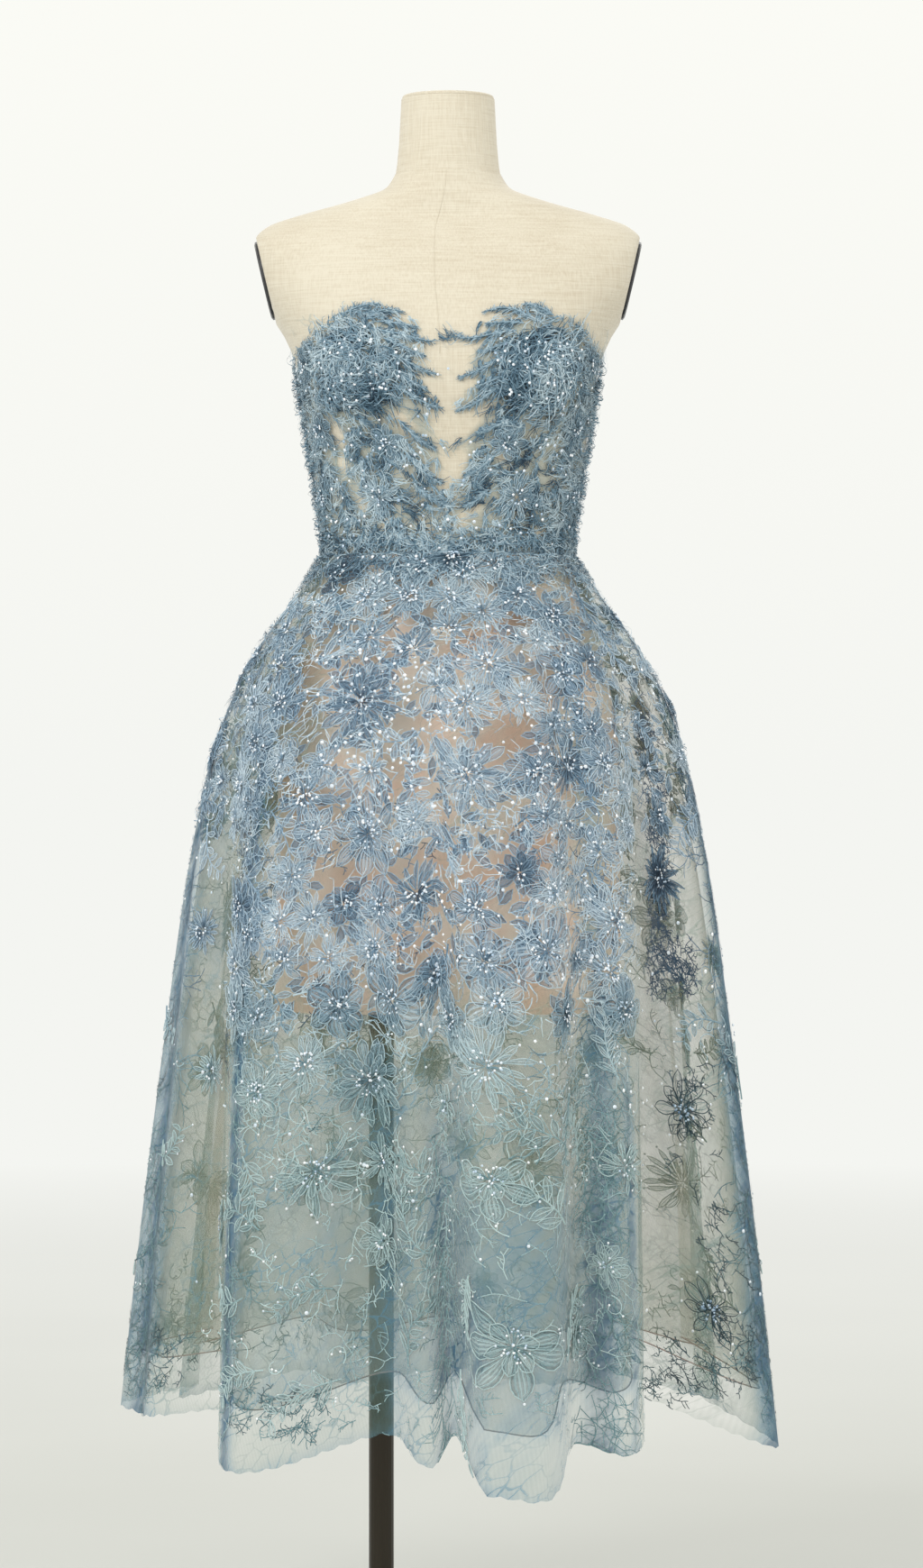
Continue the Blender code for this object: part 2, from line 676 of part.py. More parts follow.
def build_underskirt(material):
    angles = fold_angles()
    shares = np.array(UNDERSKIRT_ROWS)
    inset = np.interp(shares, (0.0, shares[1], 1.0), (0.0, UNDERSKIRT_INSET * 0.8, UNDERSKIRT_INSET))
    out = UNDERSKIRT_OUT - inset[:, None]
    grid = skirt_xyz(angles[None, :], shares[:, None], UNDERSKIRT_SHORT, out)
    normals = ring_normals(grid)
    left, right = (nearest_column(angles, side * UNDERSKIRT_SEAM) for side in (-1, 1))
    for name, first, last in (
        ("underskirt_front", left, right),
        ("underskirt_back", right, len(angles) + left),
    ):
        panel, panel_normals = cut_panel(grid, normals, first, last)
        relief_wall(name, panel, panel_normals, UNDERSKIRT_ROWS, LINING_WALL, [], material)


def build_slip(material):
    """A short slip skirt: it follows the form to the hip, and falls straight from there."""
    angles = column_angles()
    top = WAIST_Z - HALF_GAP
    rows = []
    for share in SLIP_ROWS:
        z = top - share * (top - SLIP_HEM_Z)
        x, y = form_xy(np.radians(angles), max(z, SLIP_HIP_Z))
        rows.append(np.stack([x, y, np.full_like(x, z)], -1))
    grid = np.array(rows)
    normals = ring_normals(grid)
    ease = np.interp(SLIP_ROWS, (0.0, SLIP_ROWS[1], 1.0), (0.0, SLIP_EASE * 0.5, SLIP_EASE))
    grid = grid + normals * (FORM_CLEAR + ease[:, None, None])
    left, right = (nearest_column(angles, side * 90) for side in (-1, 1))
    for name, first, last in (("slip_front", left, right), ("slip_back", right, COLUMNS + left)):
        panel, panel_normals = cut_panel(grid, normals, first, last)
        relief_wall(name, panel, panel_normals, SLIP_ROWS, LINING_WALL, [], material)


def column_angles():
    return np.arange(COLUMNS) * 360 / COLUMNS - 180


def top_edge_z(angle_deg):
    angle_deg = np.abs((np.asarray(angle_deg, float) + 180) % 360 - 180)
    return table_value(TOP_EDGES, TOP_EDGE, "z", angle_deg)


def bodice_grid():
    """The inner face of the bodice: the form's own points, moved out."""
    angles = column_angles()
    bottom = WAIST_Z + HALF_GAP
    rows = []
    for share in BODICE_ROWS:
        z = bottom + share * (top_edge_z(angles) - bottom)
        x, y = form_xy(np.radians(angles), z)
        rows.append(np.stack([x, y, z], -1))
    grid = np.array(rows)
    normals = ring_normals(grid)
    return angles, grid + normals * FORM_CLEAR, normals


def build_bodice(material):
    """Five panels. Rows run up from the waist, so a flower's place is its height above it."""
    angles, grid, normals = bodice_grid()
    seams = (-BODICE_SIDE_SEAM, -PRINCESS_SEAM, PRINCESS_SEAM, BODICE_SIDE_SEAM)
    side_left, princess_left, princess_right, side_right = (nearest_column(angles, a) for a in seams)
    panels = {
        "bodice_front": (princess_left, princess_right),
        "bodice_side_front_right": (princess_right, side_right),
        "bodice_side_front_left": (side_left, princess_left),
        "bodice_back_right": (side_right, COLUMNS),
        "bodice_back_left": (COLUMNS, COLUMNS + side_left),
    }
    for name, (first, last) in panels.items():
        panel, panel_normals = cut_panel(grid, normals, first, last)
        panel_angles = [angles[k % COLUMNS] for k in range(first, last + 1)]
        flowers = bodice_flowers(panel_angles)
        relief_wall(name, panel, panel_normals, BODICE_ROWS, WALL, flowers, material)


def bodice_flowers(panel_angles):
    start = panel_angles[0]
    turned = [(a - start) % 360 for a in panel_angles]
    found = []
    for side in (-1, 1):
        for angle, height, radius, petals, turn in BODICE_FLOWERS:
            at = (side * angle - start) % 360
            margin = 360 / COLUMNS
            if margin < at < turned[-1] - margin:
                column = float(np.interp(at, turned, np.arange(len(turned))))
                share = height / (float(top_edge_z(angle)) - WAIST_Z)
                found.append((column, share, radius, petals, turn * side))
    return found


# ---------------------------------------------------------------- the zip
def zip_face_y(z):
    """How far back the zip's inner face lies: 0.3 mm off the bodice, and off the skirt below the waist."""
    z = np.asarray(z, float)
    _, back = form_xy(math.pi, np.maximum(z, WAIST_Z))
    bodice = back + FORM_CLEAR + WALL
    share = np.clip((WAIST_Z - z) / (WAIST_Z - float(flute_value("hem_z", 180))), 0, 1)
    skirt = skirt_xyz(180.0, share, out=LACE_OUT + WALL)[..., 1]
    over = np.clip((z - WAIST_Z) / ZIP_BLEND, 0, 1)
    return np.where(z < WAIST_Z, skirt, skirt * (1 - over) + bodice * over) + SEAM_GAP


def build_zip(tape, metal):
    top_z = float(top_edge_z(180)) - ZIP_TOP_MARGIN
    heights = [*np.linspace(top_z, WAIST_Z + ZIP_BLEND, 7)]
    heights += [*np.linspace(WAIST_Z, WAIST_Z - ZIP_BELOW_WAIST, 9)]
    half = ZIP_WIDTH / 2
    rings = []
    for z in heights:
        near = float(zip_face_y(z))
        far = near + ZIP_THICK
        rings.append([(-half, near, z), (half, near, z), (half, far, z), (-half, far, z)])
    loft("zip_chain", rings, tape)

    slider_z = top_z - SLIDER_BELOW_TOP
    faces_y = [float(zip_face_y(slider_z + dz * SLIDER_SIZE[2] / 2)) for dz in (-1, 1)]
    slider_y = max(faces_y) + ZIP_THICK + SEAM_GAP
    body = add_box("zip_slider", (0, slider_y + SLIDER_SIZE[1] / 2, slider_z), SLIDER_SIZE, metal)
    bridge_y = slider_y + SLIDER_SIZE[1]
    foot_z = (BRIDGE_LENGTH - BRIDGE_BAR) / 2
    foot_y = bridge_y + BRIDGE_RISE / 2 - BRIDGE_ROOT
    bar_y = bridge_y + BRIDGE_RISE - BRIDGE_BAR / 2
    foot = (BRIDGE_WIDTH, BRIDGE_RISE, BRIDGE_BAR)
    for name, size, y, z in (
        ("bridge_foot_low", foot, foot_y, slider_z - foot_z),
        ("bridge_foot_high", foot, foot_y, slider_z + foot_z),
        ("bridge_bar", (BRIDGE_WIDTH, BRIDGE_BAR, BRIDGE_LENGTH), bar_y, slider_z),
    ):
        piece = add_box(name, (0, y, z), size, metal)
        piece.hide_render = True
        piece.display_type = "WIRE"
        join = body.modifiers.new(name, "BOOLEAN")
        join.operation = "UNION"
        join.object = piece
    pin = (0, bridge_y + (BRIDGE_RISE - BRIDGE_BAR) / 2, slider_z)
    build_pull(pin, metal)


def add_box(name, centre, size, material):
    x, y, z = size[0] / 2, size[1] / 2, size[2] / 2
    rings = [[(-x, -y, level), (x, -y, level), (x, y, level), (-x, y, level)] for level in (-z, z)]
    return loft(name, [np.array(ring) + centre for ring in rings], material)


def build_pull(pin, metal):
    """The pull hangs from a round pin under the slider's bridge. Its origin is on the pin's axis."""
    outline = pull_outline()
    half = PULL_THICK / 2
    count = len(outline)
    points = [(x, -half, z) for x, z in outline] + [(x, half, z) for x, z in outline]
    faces = [(k, (k + 1) % count, (k + 1) % count + count, k + count) for k in range(count)]
    faces += [tuple(range(count)), tuple(range(count, 2 * count))]
    pull = add_object("zip_pull", points, faces, metal)
    reach = PULL_ARM_X + PULL_ARM_WIDTH / 2
    turns = [math.tau * k / 12 for k in range(12)]
    pin_ring = [(PIN_RADIUS * math.cos(a), PIN_RADIUS * math.sin(a)) for a in turns]
    rod = loft("pull_pin", [[(x, y, z) for y, z in pin_ring] for x in (-reach, reach)], metal)
    rod.hide_render = True
    rod.display_type = "WIRE"
    join = pull.modifiers.new("pin", "BOOLEAN")
    join.operation = "UNION"
    join.object = rod
    rod.parent = pull
    pull.location = pin


def pull_outline():
    """The pull seen from behind, as x and z from the pin: two arms, then a rounded tab."""
    outer = PULL_ARM_X + PULL_ARM_WIDTH / 2
    inner = PULL_ARM_X - PULL_ARM_WIDTH / 2
    tab_top = -(PULL_LENGTH - PULL_TAB_LENGTH)
    slot_end = tab_top + PULL_SLOT_SHORT
    radius = PULL_TAB_WIDTH / 2
    turns = [-math.pi * k / 8 for k in range(9)]
    tip = [(radius * math.cos(a), radius * (1 + math.sin(a)) - PULL_LENGTH) for a in turns]
    right_arm = [(inner, slot_end), (inner, PULL_EYE), (outer, PULL_EYE), (outer, tab_top)]
    left_arm = [(-outer, tab_top), (-outer, PULL_EYE), (-inner, PULL_EYE), (-inner, slot_end)]
    return right_arm + tip + left_arm


def main():
    for obj in list(bpy.data.objects):
        bpy.data.objects.remove(obj)
    linen = make_material("linen", LINEN, 0.9)
    dark = make_material("dark_metal", DARK_METAL, 0.4, 0.8)
    plate = make_material("plate_metal", PLATE_METAL, 0.35, 0.9)
    lace = make_material("blue_lace", FABRIC_BLUE, 0.8)
    organza = make_material("nude_organza", ORGANZA, 0.6)
    nude = make_material("nude_lining", NUDE, 0.7)
    zip_metal = make_material("zip_metal", ZIP_METAL, 0.35, 0.8)
    build_stand(linen, dark, plate)
    build_slip(nude)
    build_underskirt(organza)
    build_lace_skirt(lace)
    build_bodice(lace)
    build_zip(lace, zip_metal)


main()
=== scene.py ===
"""Looks of a lace midi dress on its dress form: cloth shells, corded lace, beads, linen and stand.

Metres, +Z up. The front faces -Y and +X is the viewer's right. Angles run round the vertical axis
from the front centre, positive towards +X. A cloth place is a column (angle) and a row (share from
its top edge to its hem), and a motif is drawn flat, in metres along the cloth (x) and down it (y).
"""

import math

import bpy
import numpy as np
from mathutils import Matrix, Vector


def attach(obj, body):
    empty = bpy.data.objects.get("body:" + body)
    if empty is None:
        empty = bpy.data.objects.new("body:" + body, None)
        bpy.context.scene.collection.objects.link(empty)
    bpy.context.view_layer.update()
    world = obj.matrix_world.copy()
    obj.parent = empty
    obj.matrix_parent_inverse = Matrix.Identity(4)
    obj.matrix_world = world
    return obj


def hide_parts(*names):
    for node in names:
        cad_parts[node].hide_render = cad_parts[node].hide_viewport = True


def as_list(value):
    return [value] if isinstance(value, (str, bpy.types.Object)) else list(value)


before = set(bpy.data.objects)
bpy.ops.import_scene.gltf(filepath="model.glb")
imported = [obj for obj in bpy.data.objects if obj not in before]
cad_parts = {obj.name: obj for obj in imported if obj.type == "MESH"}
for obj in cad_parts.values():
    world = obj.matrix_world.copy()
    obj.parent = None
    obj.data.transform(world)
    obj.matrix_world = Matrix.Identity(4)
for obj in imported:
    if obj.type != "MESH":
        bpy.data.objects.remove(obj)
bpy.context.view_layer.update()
random = np.random.default_rng(2611)

# ---------------------------------------------------------------- the garment's sizes, as in the solids
WAIST_Z = 1.105
HALF_GAP = 0.00015  # half the gap at the waist seam
BUST_ANGLE = math.radians(33)
BUST_Z = 1.272
BUST_PUSH = 0.024
BUST_SPREAD_ANGLE = math.radians(24)
BUST_SPREAD_Z = 0.052
WALL = 0.0016
LINING_WALL = 0.0010
FORM_CLEAR = 0.0005
LAYER_GAP = 0.0006
UNDERSKIRT_OUT = FORM_CLEAR + LINING_WALL + LAYER_GAP
LACE_OUT = UNDERSKIRT_OUT + LINING_WALL + LAYER_GAP

FORM_SECTION = ("z", "half_width", "front", "back", "squareness")
FORM_SECTIONS = (
    (0.8000, 0.1600, 0.1060, 0.1120, 2.30),
    (0.8600, 0.1650, 0.1140, 0.1200, 2.30),
    (0.9100, 0.1650, 0.1160, 0.1220, 2.25),
    (0.9800, 0.1560, 0.1110, 0.1130, 2.20),
    (1.0400, 0.1380, 0.1010, 0.0990, 2.10),
    (1.0850, 0.1245, 0.0930, 0.0892, 2.00),
    (WAIST_Z, 0.1220, 0.0915, 0.0875, 2.00),
    (1.1300, 0.1235, 0.0925, 0.0890, 2.05),
    (1.1800, 0.1310, 0.0980, 0.0960, 2.15),
    (1.2400, 0.1410, 0.1040, 0.1040, 2.20),
    (1.2850, 0.1480, 0.1060, 0.1090, 2.25),
    (1.3200, 0.1600, 0.1040, 0.1110, 2.30),
    (1.3500, 0.1780, 0.0980, 0.1090, 2.40),
    (1.3800, 0.1910, 0.0890, 0.1030, 2.50),
    (1.4100, 0.1960, 0.0760, 0.0930, 2.50),
    (1.4235, 0.1925, 0.0670, 0.0850, 2.50),
    (1.4355, 0.1800, 0.0590, 0.0750, 2.40),
    (1.4470, 0.1470, 0.0540, 0.0680, 2.30),
    (1.4605, 0.0990, 0.0520, 0.0610, 2.20),
    (1.4740, 0.0625, 0.0500, 0.0560, 2.10),
    (1.4875, 0.0530, 0.0480, 0.0520, 2.00),
)
SKIRT_SECTION = ("drop", "half_width", "front", "back")
SKIRT_SECTIONS = (
    (0.000, 0.1220, 0.0915, 0.0875),
    (0.013, 0.1300, 0.0975, 0.0935),
    (0.036, 0.1448, 0.1110, 0.1080),
    (0.081, 0.1785, 0.1430, 0.1410),
    (0.126, 0.2062, 0.1710, 0.1700),
    (0.189, 0.2300, 0.1980, 0.1990),
    (0.300, 0.2550, 0.2340, 0.2330),
    (0.480, 0.2810, 0.2750, 0.2700),
    (0.660, 0.3040, 0.3120, 0.3040),
    (0.890, 0.3300, 0.3520, 0.3400),
)
FLUTE_START = 0.045
FLUTE_END = 0.890
FLUTE = ("angle", "inset", "hem_z", "lean")
FLUTES = (
    (-180, 0.075, 0.262, 0),
    (-162, 0.008, 0.240, -2),
    (-144, 0.070, 0.266, 3),
    (-124, 0.002, 0.242, 0),
    (-110, 0.062, 0.268, -3),
    (-95, 0.000, 0.257, 0),
    (-84, 0.028, 0.254, -4),
    (-67, 0.098, 0.268, -8),
    (-43, 0.044, 0.226, -11),
    (-13, 0.122, 0.263, -12),
    (-3.5, 0.080, 0.238, -10),
    (1.5, 0.096, 0.268, -7),
    (6.5, 0.008, 0.222, -3),
    (14, 0.000, 0.217, 12),
    (27, 0.080, 0.257, 12),
    (35, 0.052, 0.245, 9),
    (60, 0.126, 0.282, 6),
    (83, 0.004, 0.224, 2),
    (104, 0.076, 0.262, 0),
    (124, 0.002, 0.240, 3),
    (143, 0.072, 0.266, -2),
    (161, 0.008, 0.238, 2),
    (180, 0.075, 0.262, 0),
)
SIDE_SEAMS = (-110, 104)
UNDERSKIRT_SHORT = 0.058
UNDERSKIRT_INSET = 0.011
UNDERSKIRT_FIRST_SHARE = 0.05
SLIP_HEM_Z = 0.655
SLIP_EASE = 0.0060
SLIP_HIP_Z = 0.905
SLIP_FIRST_SHARE = 0.10
SLIP_FOLDS_START = 0.35  # share down the slip where its folds begin
SLIP_FOLDS = ((0.0028, 9, 1.5), (0.0020, 17, -2.0))  # depth, waves round the slip, and their lean
TOP_EDGE = ("angle", "z")
TOP_EDGES = ((0, 1.318), (20, 1.344), (45, 1.342), (75, 1.326), (110, 1.290), (180, 1.265))
PRINCESS_SEAM = 37.5
BODICE_SIDE_SEAM = 90
NECK_BASE = (1.4878, 0.0524, 0.0475)  # z, half width and half depth
ARMHOLE_TILT = math.radians(13.2)
ARMHOLE_AT = (0.1785, 1.370)  # x and z of a point on the flat armhole face

# ---------------------------------------------------------------- the photograph's frame
CAMERA_BACK = 4.5
CAMERA_Z = 0.88
SENSOR = 36.0
FRAME_WIDTH, FRAME_HEIGHT = 1024, 1740
PIXELS_A_METRE_AT_ONE = 5000  # so that a metre at the form's axis is 1111 pixels
AXIS_COLUMN = 497  # the pixel column of the form's axis


# ---------------------------------------------------------------- curves and surfaces
def smooth_through(xs, ys, at):
    """A curve through the points that never overshoots them (monotone cubic)."""
    xs, ys, at = (np.asarray(a, float) for a in (xs, ys, at))
    step = np.diff(xs)
    slope = np.diff(ys) / step
    tangent = np.zeros_like(ys)
    same_way = slope[:-1] * slope[1:] > 0
    weight_a = 2 * step[1:] + step[:-1]
    weight_b = step[1:] + 2 * step[:-1]
    with np.errstate(divide="ignore", invalid="ignore"):
        mean = (weight_a + weight_b) / (weight_a / slope[:-1] + weight_b / slope[1:])
    tangent[1:-1] = np.where(same_way, mean, 0.0)
    tangent[0], tangent[-1] = slope[0], slope[-1]
    at = np.clip(at, xs[0], xs[-1])
    i = np.clip(np.searchsorted(xs, at, side="right") - 1, 0, len(step) - 1)
    t = (at - xs[i]) / step[i]
    return (
        ys[i] * (1 + 2 * t) * (1 - t) ** 2
        + ys[i + 1] * t * t * (3 - 2 * t)
        + step[i] * (tangent[i] * t * (1 - t) ** 2 - tangent[i + 1] * t * t * (1 - t))
    )


def table_value(rows, names, name, at):
    """The named column of a table, read smoothly at a value of its first column."""
    xs = [row[0] for row in rows]
    return smooth_through(xs, [row[names.index(name)] for row in rows], at)


def signed_power(value, power):
    return np.sign(value) * np.abs(value) ** power


def form_xy(angle, z):
    """The form's surface at an angle round the axis, in radians, and a height."""
    angle = (np.asarray(angle, float) + math.pi) % (2 * math.pi) - math.pi
    half_width, front, back, square = (
        table_value(FORM_SECTIONS, FORM_SECTION, name, z) for name in FORM_SECTION[1:]
    )
    depth = np.where(np.abs(angle) < math.pi / 2, front, back)
    x = half_width * signed_power(np.sin(angle), 2 / square)
    y = -depth * signed_power(np.cos(angle), 2 / square)
    away = (np.abs(angle) - BUST_ANGLE) / BUST_SPREAD_ANGLE
    push = BUST_PUSH * np.exp(-(away**2) - ((z - BUST_Z) / BUST_SPREAD_Z) ** 2)
    return x + push * np.sin(angle), y - push * np.cos(angle)


def flute_value(name, angle_deg):
    """Inset, hem height or lean round the hem: half a cosine wave from each row to the next."""
    angles = np.array([row[0] for row in FLUTES], float)
    values = np.array([row[FLUTE.index(name)] for row in FLUTES], float)
    angle_deg = (np.asarray(angle_deg, float) + 180) % 360 - 180
    i = np.clip(np.searchsorted(angles, angle_deg, side="right") - 1, 0, len(angles) - 2)
    t = (angle_deg - angles[i]) / (angles[i + 1] - angles[i])
    return values[i] + (values[i + 1] - values[i]) * (1 - np.cos(np.pi * t)) / 2


def skirt_xyz(angle_deg, share, short=0.0, out=0.0):
    """The lace skirt, by an angle at the hem and a share from 0 at the waist seam to 1 at the hem."""
    angle_deg, share = np.broadcast_arrays(np.asarray(angle_deg, float), np.asarray(share, float))
    top = WAIST_Z - HALF_GAP
    z = top - share * (top - flute_value("hem_z", angle_deg) - short)
    drop = WAIST_Z - z
    half_width, front, back = (
        table_value(SKIRT_SECTIONS, SKIRT_SECTION, name, drop) for name in SKIRT_SECTION[1:]
    )
    angle = np.radians(angle_deg + flute_value("lean", angle_deg) * (1 - share))
    depth = np.where(np.cos(angle) > 0, front, back)
    crest = 1 / np.sqrt((np.sin(angle) / half_width) ** 2 + (np.cos(angle) / depth) ** 2)
    grow = np.clip((drop - FLUTE_START) / (FLUTE_END - FLUTE_START), 0, 1)
    radius = crest - flute_value("inset", angle_deg) * grow + out + creases(angle_deg, share)
    return np.stack([radius * np.sin(angle), -radius * np.cos(angle), z], -1)


# Soft creases between the flutes: angle at the hem, share where each starts and ends, depth, half
# width in degrees, and how far its lower end stands round from its upper end
CREASES = (
    (-168, 0.30, 0.92, -0.0034, 3.4, 2),
    (-131, 0.22, 0.80, 0.0028, 2.8, -3),
    (-103, 0.35, 0.97, -0.0030, 2.6, 2),
    (-76, 0.12, 0.70, -0.0026, 3.0, -2),
    (-57, 0.28, 0.88, 0.0030, 2.6, 3),
    (-50, 0.50, 1.00, -0.0026, 2.2, -2),
    (-31, 0.18, 0.66, -0.0032, 3.2, 4),
    (-24, 0.45, 0.95, 0.0024, 2.4, -3),
    (20, 0.30, 0.90, -0.0030, 2.6, 2),
    (45, 0.15, 0.62, 0.0026, 3.0, -3),
    (51, 0.48, 0.96, -0.0032, 2.4, 2),
    (71, 0.22, 0.78, 0.0028, 2.8, 3),
    (93, 0.34, 0.94, -0.0030, 3.0, -2),
    (114, 0.18, 0.70, 0.0026, 2.6, 2),
    (133, 0.40, 0.98, -0.0032, 3.2, -3),
    (152, 0.25, 0.84, 0.0028, 2.8, 2),
    (170, 0.36, 0.90, -0.0026, 2.6, -2),
)


def creases(angle_deg, share):
    """How far the cloth stands out, or in, along its soft creases."""
    found = np.zeros(np.broadcast(angle_deg, share).shape)
    for angle, start, end, depth, width, drift in CREASES:
        along = np.clip((share - start) / (end - start), 0, 1)
        away = (np.asarray(angle_deg) - angle - drift * along + 180) % 360 - 180
        found = found + depth * np.sin(np.pi * along) ** 2 * np.exp(-((away / width) ** 2))
    return found


def top_edge_z(angle_deg):
    """The height of the bodice's top edge, the same on both sides."""
    angle_deg = np.abs((np.asarray(angle_deg, float) + 180) % 360 - 180)
    return table_value(TOP_EDGES, TOP_EDGE, "z", angle_deg)


def pushed_out(x, y, z, out):
    """Points moved away from the vertical axis."""
    grow = 1 + out / np.hypot(x, y)
    return np.stack([x * grow, y * grow, z], -1)


def lace_skirt_point(angle_deg, share):
    return skirt_xyz(angle_deg, share, out=LACE_OUT + WALL / 2)


def underskirt_point(angle_deg, share):
    inset = np.interp(
        share, (0, UNDERSKIRT_FIRST_SHARE, 1), (0, UNDERSKIRT_INSET * 0.8, UNDERSKIRT_INSET)
    )
    out = UNDERSKIRT_OUT + LINING_WALL / 2 - inset
    return skirt_xyz(angle_deg, share, UNDERSKIRT_SHORT, out)


def slip_point(angle_deg, share):
    """The slip follows the form to the hip, and falls in soft folds from there."""
    angle_deg, share = np.broadcast_arrays(np.asarray(angle_deg, float), np.asarray(share, float))
    top = WAIST_Z - HALF_GAP
    z = top - share * (top - SLIP_HEM_Z)
    x, y = form_xy(np.radians(angle_deg), np.maximum(z, SLIP_HIP_Z))
    ease = np.interp(share, (0, SLIP_FIRST_SHARE, 1), (0, SLIP_EASE * 0.5, SLIP_EASE))
    out = FORM_CLEAR + LINING_WALL / 2 + ease
    fall = np.clip((share - SLIP_FOLDS_START) / (1 - SLIP_FOLDS_START), 0, 1)
    for depth, waves, lean in SLIP_FOLDS:
        out = out + depth * fall * np.sin(np.radians(angle_deg) * waves + lean * share)
    return pushed_out(x, y, z, out)


def bodice_point(angle_deg, share):
    """The bodice, from its top edge (share 0) to the waist seam (share 1)."""
    angle_deg, share = np.broadcast_arrays(np.asarray(angle_deg, float), np.asarray(share, float))
    bottom = WAIST_Z + HALF_GAP
    z = bottom + (1 - share) * (top_edge_z(angle_deg) - bottom)
    return pushed_out(*form_xy(np.radians(angle_deg), z), z, FORM_CLEAR + WALL / 2)


class Cloth:
    """A surface on a grid of angles and shares, with the lengths to lay flat motifs on it."""

    def __init__(self, point_of, angles, shares):
        self.angles, self.shares = np.asarray(angles, float), np.asarray(shares, float)
        self.points = point_of(self.angles[None, :], self.shares[:, None])
        along = np.gradient(self.points, axis=1)
        down = np.gradient(self.points, axis=0)
        normals = np.cross(down, along)
        self.normals = normals / np.linalg.norm(normals, axis=-1, keepdims=True)
        steps = np.linalg.norm(np.diff(self.points, axis=1), axis=-1)
        self.along = np.pad(np.cumsum(steps, axis=1), ((0, 0), (1, 0)))
        steps = np.linalg.norm(np.diff(self.points, axis=0), axis=-1)
        self.down = np.pad(np.cumsum(steps, axis=0), ((1, 0), (0, 0)))
        self.down -= self.down[np.argmin(np.abs(self.shares))]

    def place(self, angle_deg, drop):
        """The (column, row) at an angle and a length down the cloth."""
        column = float(np.interp(angle_deg, self.angles, np.arange(len(self.angles))))
        lengths = self.down[:, int(round(column))]
        return column, float(np.interp(drop, lengths, np.arange(len(self.shares))))

    def lay(self, column, row, flat):
        """Columns and rows of flat places (..., 2) round a centre, by their true lengths."""
        lengths = self.down[:, int(round(column))]
        indices = np.arange(len(self.shares))
        rows = np.interp(np.interp(row, indices, lengths) + flat[..., 1], lengths, indices)
        columns = np.empty_like(rows)
        nearest = np.rint(rows).astype(int)
        every = np.arange(len(self.angles))
        for k in np.unique(nearest):
            here = nearest == k
            start = np.interp(column, every, self.along[k])
            columns[here] = np.interp(start + flat[..., 0][here], self.along[k], every)
        return columns, rows

    def read(self, grid, columns, rows):
        """A grid's values at fractional columns and rows."""
        j = np.clip(np.floor(columns).astype(int), 0, grid.shape[1] - 2)
        i = np.clip(np.floor(rows).astype(int), 0, grid.shape[0] - 2)
        u, v = (columns - j)[..., None], (rows - i)[..., None]
        top = grid[i, j] * (1 - u) + grid[i, j + 1] * u
        return top * (1 - v) + (grid[i + 1, j] * (1 - u) + grid[i + 1, j + 1] * u) * v

    def at(self, columns, rows, height):
        """Points at a height over the cloth, and the outward normals there."""
        normals = self.read(self.normals, columns, rows)
        normals /= np.linalg.norm(normals, axis=-1, keepdims=True)
        height = np.broadcast_to(np.asarray(height, float), columns.shape)
        return self.read(self.points, columns, rows) + normals * height[..., None], normals


# ---------------------------------------------------------------- meshes
class Batch:
    """Many small shapes that become one mesh, with a tone at every point."""

    def __init__(self):
        self.points, self.quads, self.triangles, self.tones, self.uvs = [], [], [], [], []
        self.count = 0

    def add(self, points, faces, tone, uv=None):
        """Points and their faces, all of them quads or all of them triangles."""
        faces = np.asarray(faces) + self.count
        (self.quads if faces.shape[-1] == 4 else self.triangles).append(faces)
        self.points.append(points)
        self.tones.append(np.broadcast_to(np.asarray(tone, float), (len(points),)))
        self.uvs.append(np.zeros((len(points), 2)) if uv is None else uv)
        self.count += len(points)

    def strips(self, sections, tone, closed=False):
        """Bands through cross-sections: lines x steps x corners x 3, tone by line."""
        lines, steps, corners = sections.shape[:3]
        ids = np.arange(lines * steps * corners).reshape(lines, steps, corners)
        faces = []
        for k in range(corners if closed else corners - 1):
            a, b = ids[:, :, k], ids[:, :, (k + 1) % corners]
            faces.append(np.stack([a[:, :-1], b[:, :-1], b[:, 1:], a[:, 1:]], -1).reshape(-1, 4))
        tones = np.broadcast_to(np.asarray(tone, float).reshape(-1, 1), (lines, steps * corners))
        self.add(sections.reshape(-1, 3), np.concatenate(faces), tones.ravel())

    def make(self, name, material, slot, smooth=True):
        """The batch as an object on the root body."""
        faces = [f for part in self.quads + self.triangles for f in part.tolist()]
        points = np.concatenate(self.points)
        made = mesh_object(name, points, faces, material, np.concatenate(self.tones), smooth)
        layer = made.data.uv_layers.new(name="Flat")
        index = np.empty(len(made.data.loops), np.int32)
        made.data.loops.foreach_get("vertex_index", index)
        layer.data.foreach_set("uv", np.concatenate(self.uvs)[index].astype(np.float32).ravel())
        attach(made, "root")
        return made


def mesh_object(name, points, faces, material, tones=None, smooth=True):
    mesh = bpy.data.meshes.new(name)
    mesh.from_pydata(np.asarray(points).tolist(), [], faces)
    if smooth:
        mesh.shade_smooth()
    if tones is not None:
        layer = mesh.attributes.new("tone", "FLOAT", "POINT")
        layer.data.foreach_set("value", tones.astype(np.float32))
    mesh.materials.append(material)
    made = bpy.data.objects.new(name, mesh)
    bpy.context.scene.collection.objects.link(made)
    return made


def grid_faces(rows, columns, closed=False):
    """The quads of a grid of points, with each row a ring if closed."""
    ids = np.arange(rows * columns).reshape(rows, columns)
    if closed:
        ids = np.concatenate([ids, ids[:, :1]], axis=1)
    return np.stack([ids[:-1, :-1], ids[1:, :-1], ids[1:, 1:], ids[:-1, 1:]], -1).reshape(-1, 4)


ROUNDING = 1e-6  # by which an angle or a share may miss its bound
ROW_STEP = 2  # a shell has every second row of its cloth


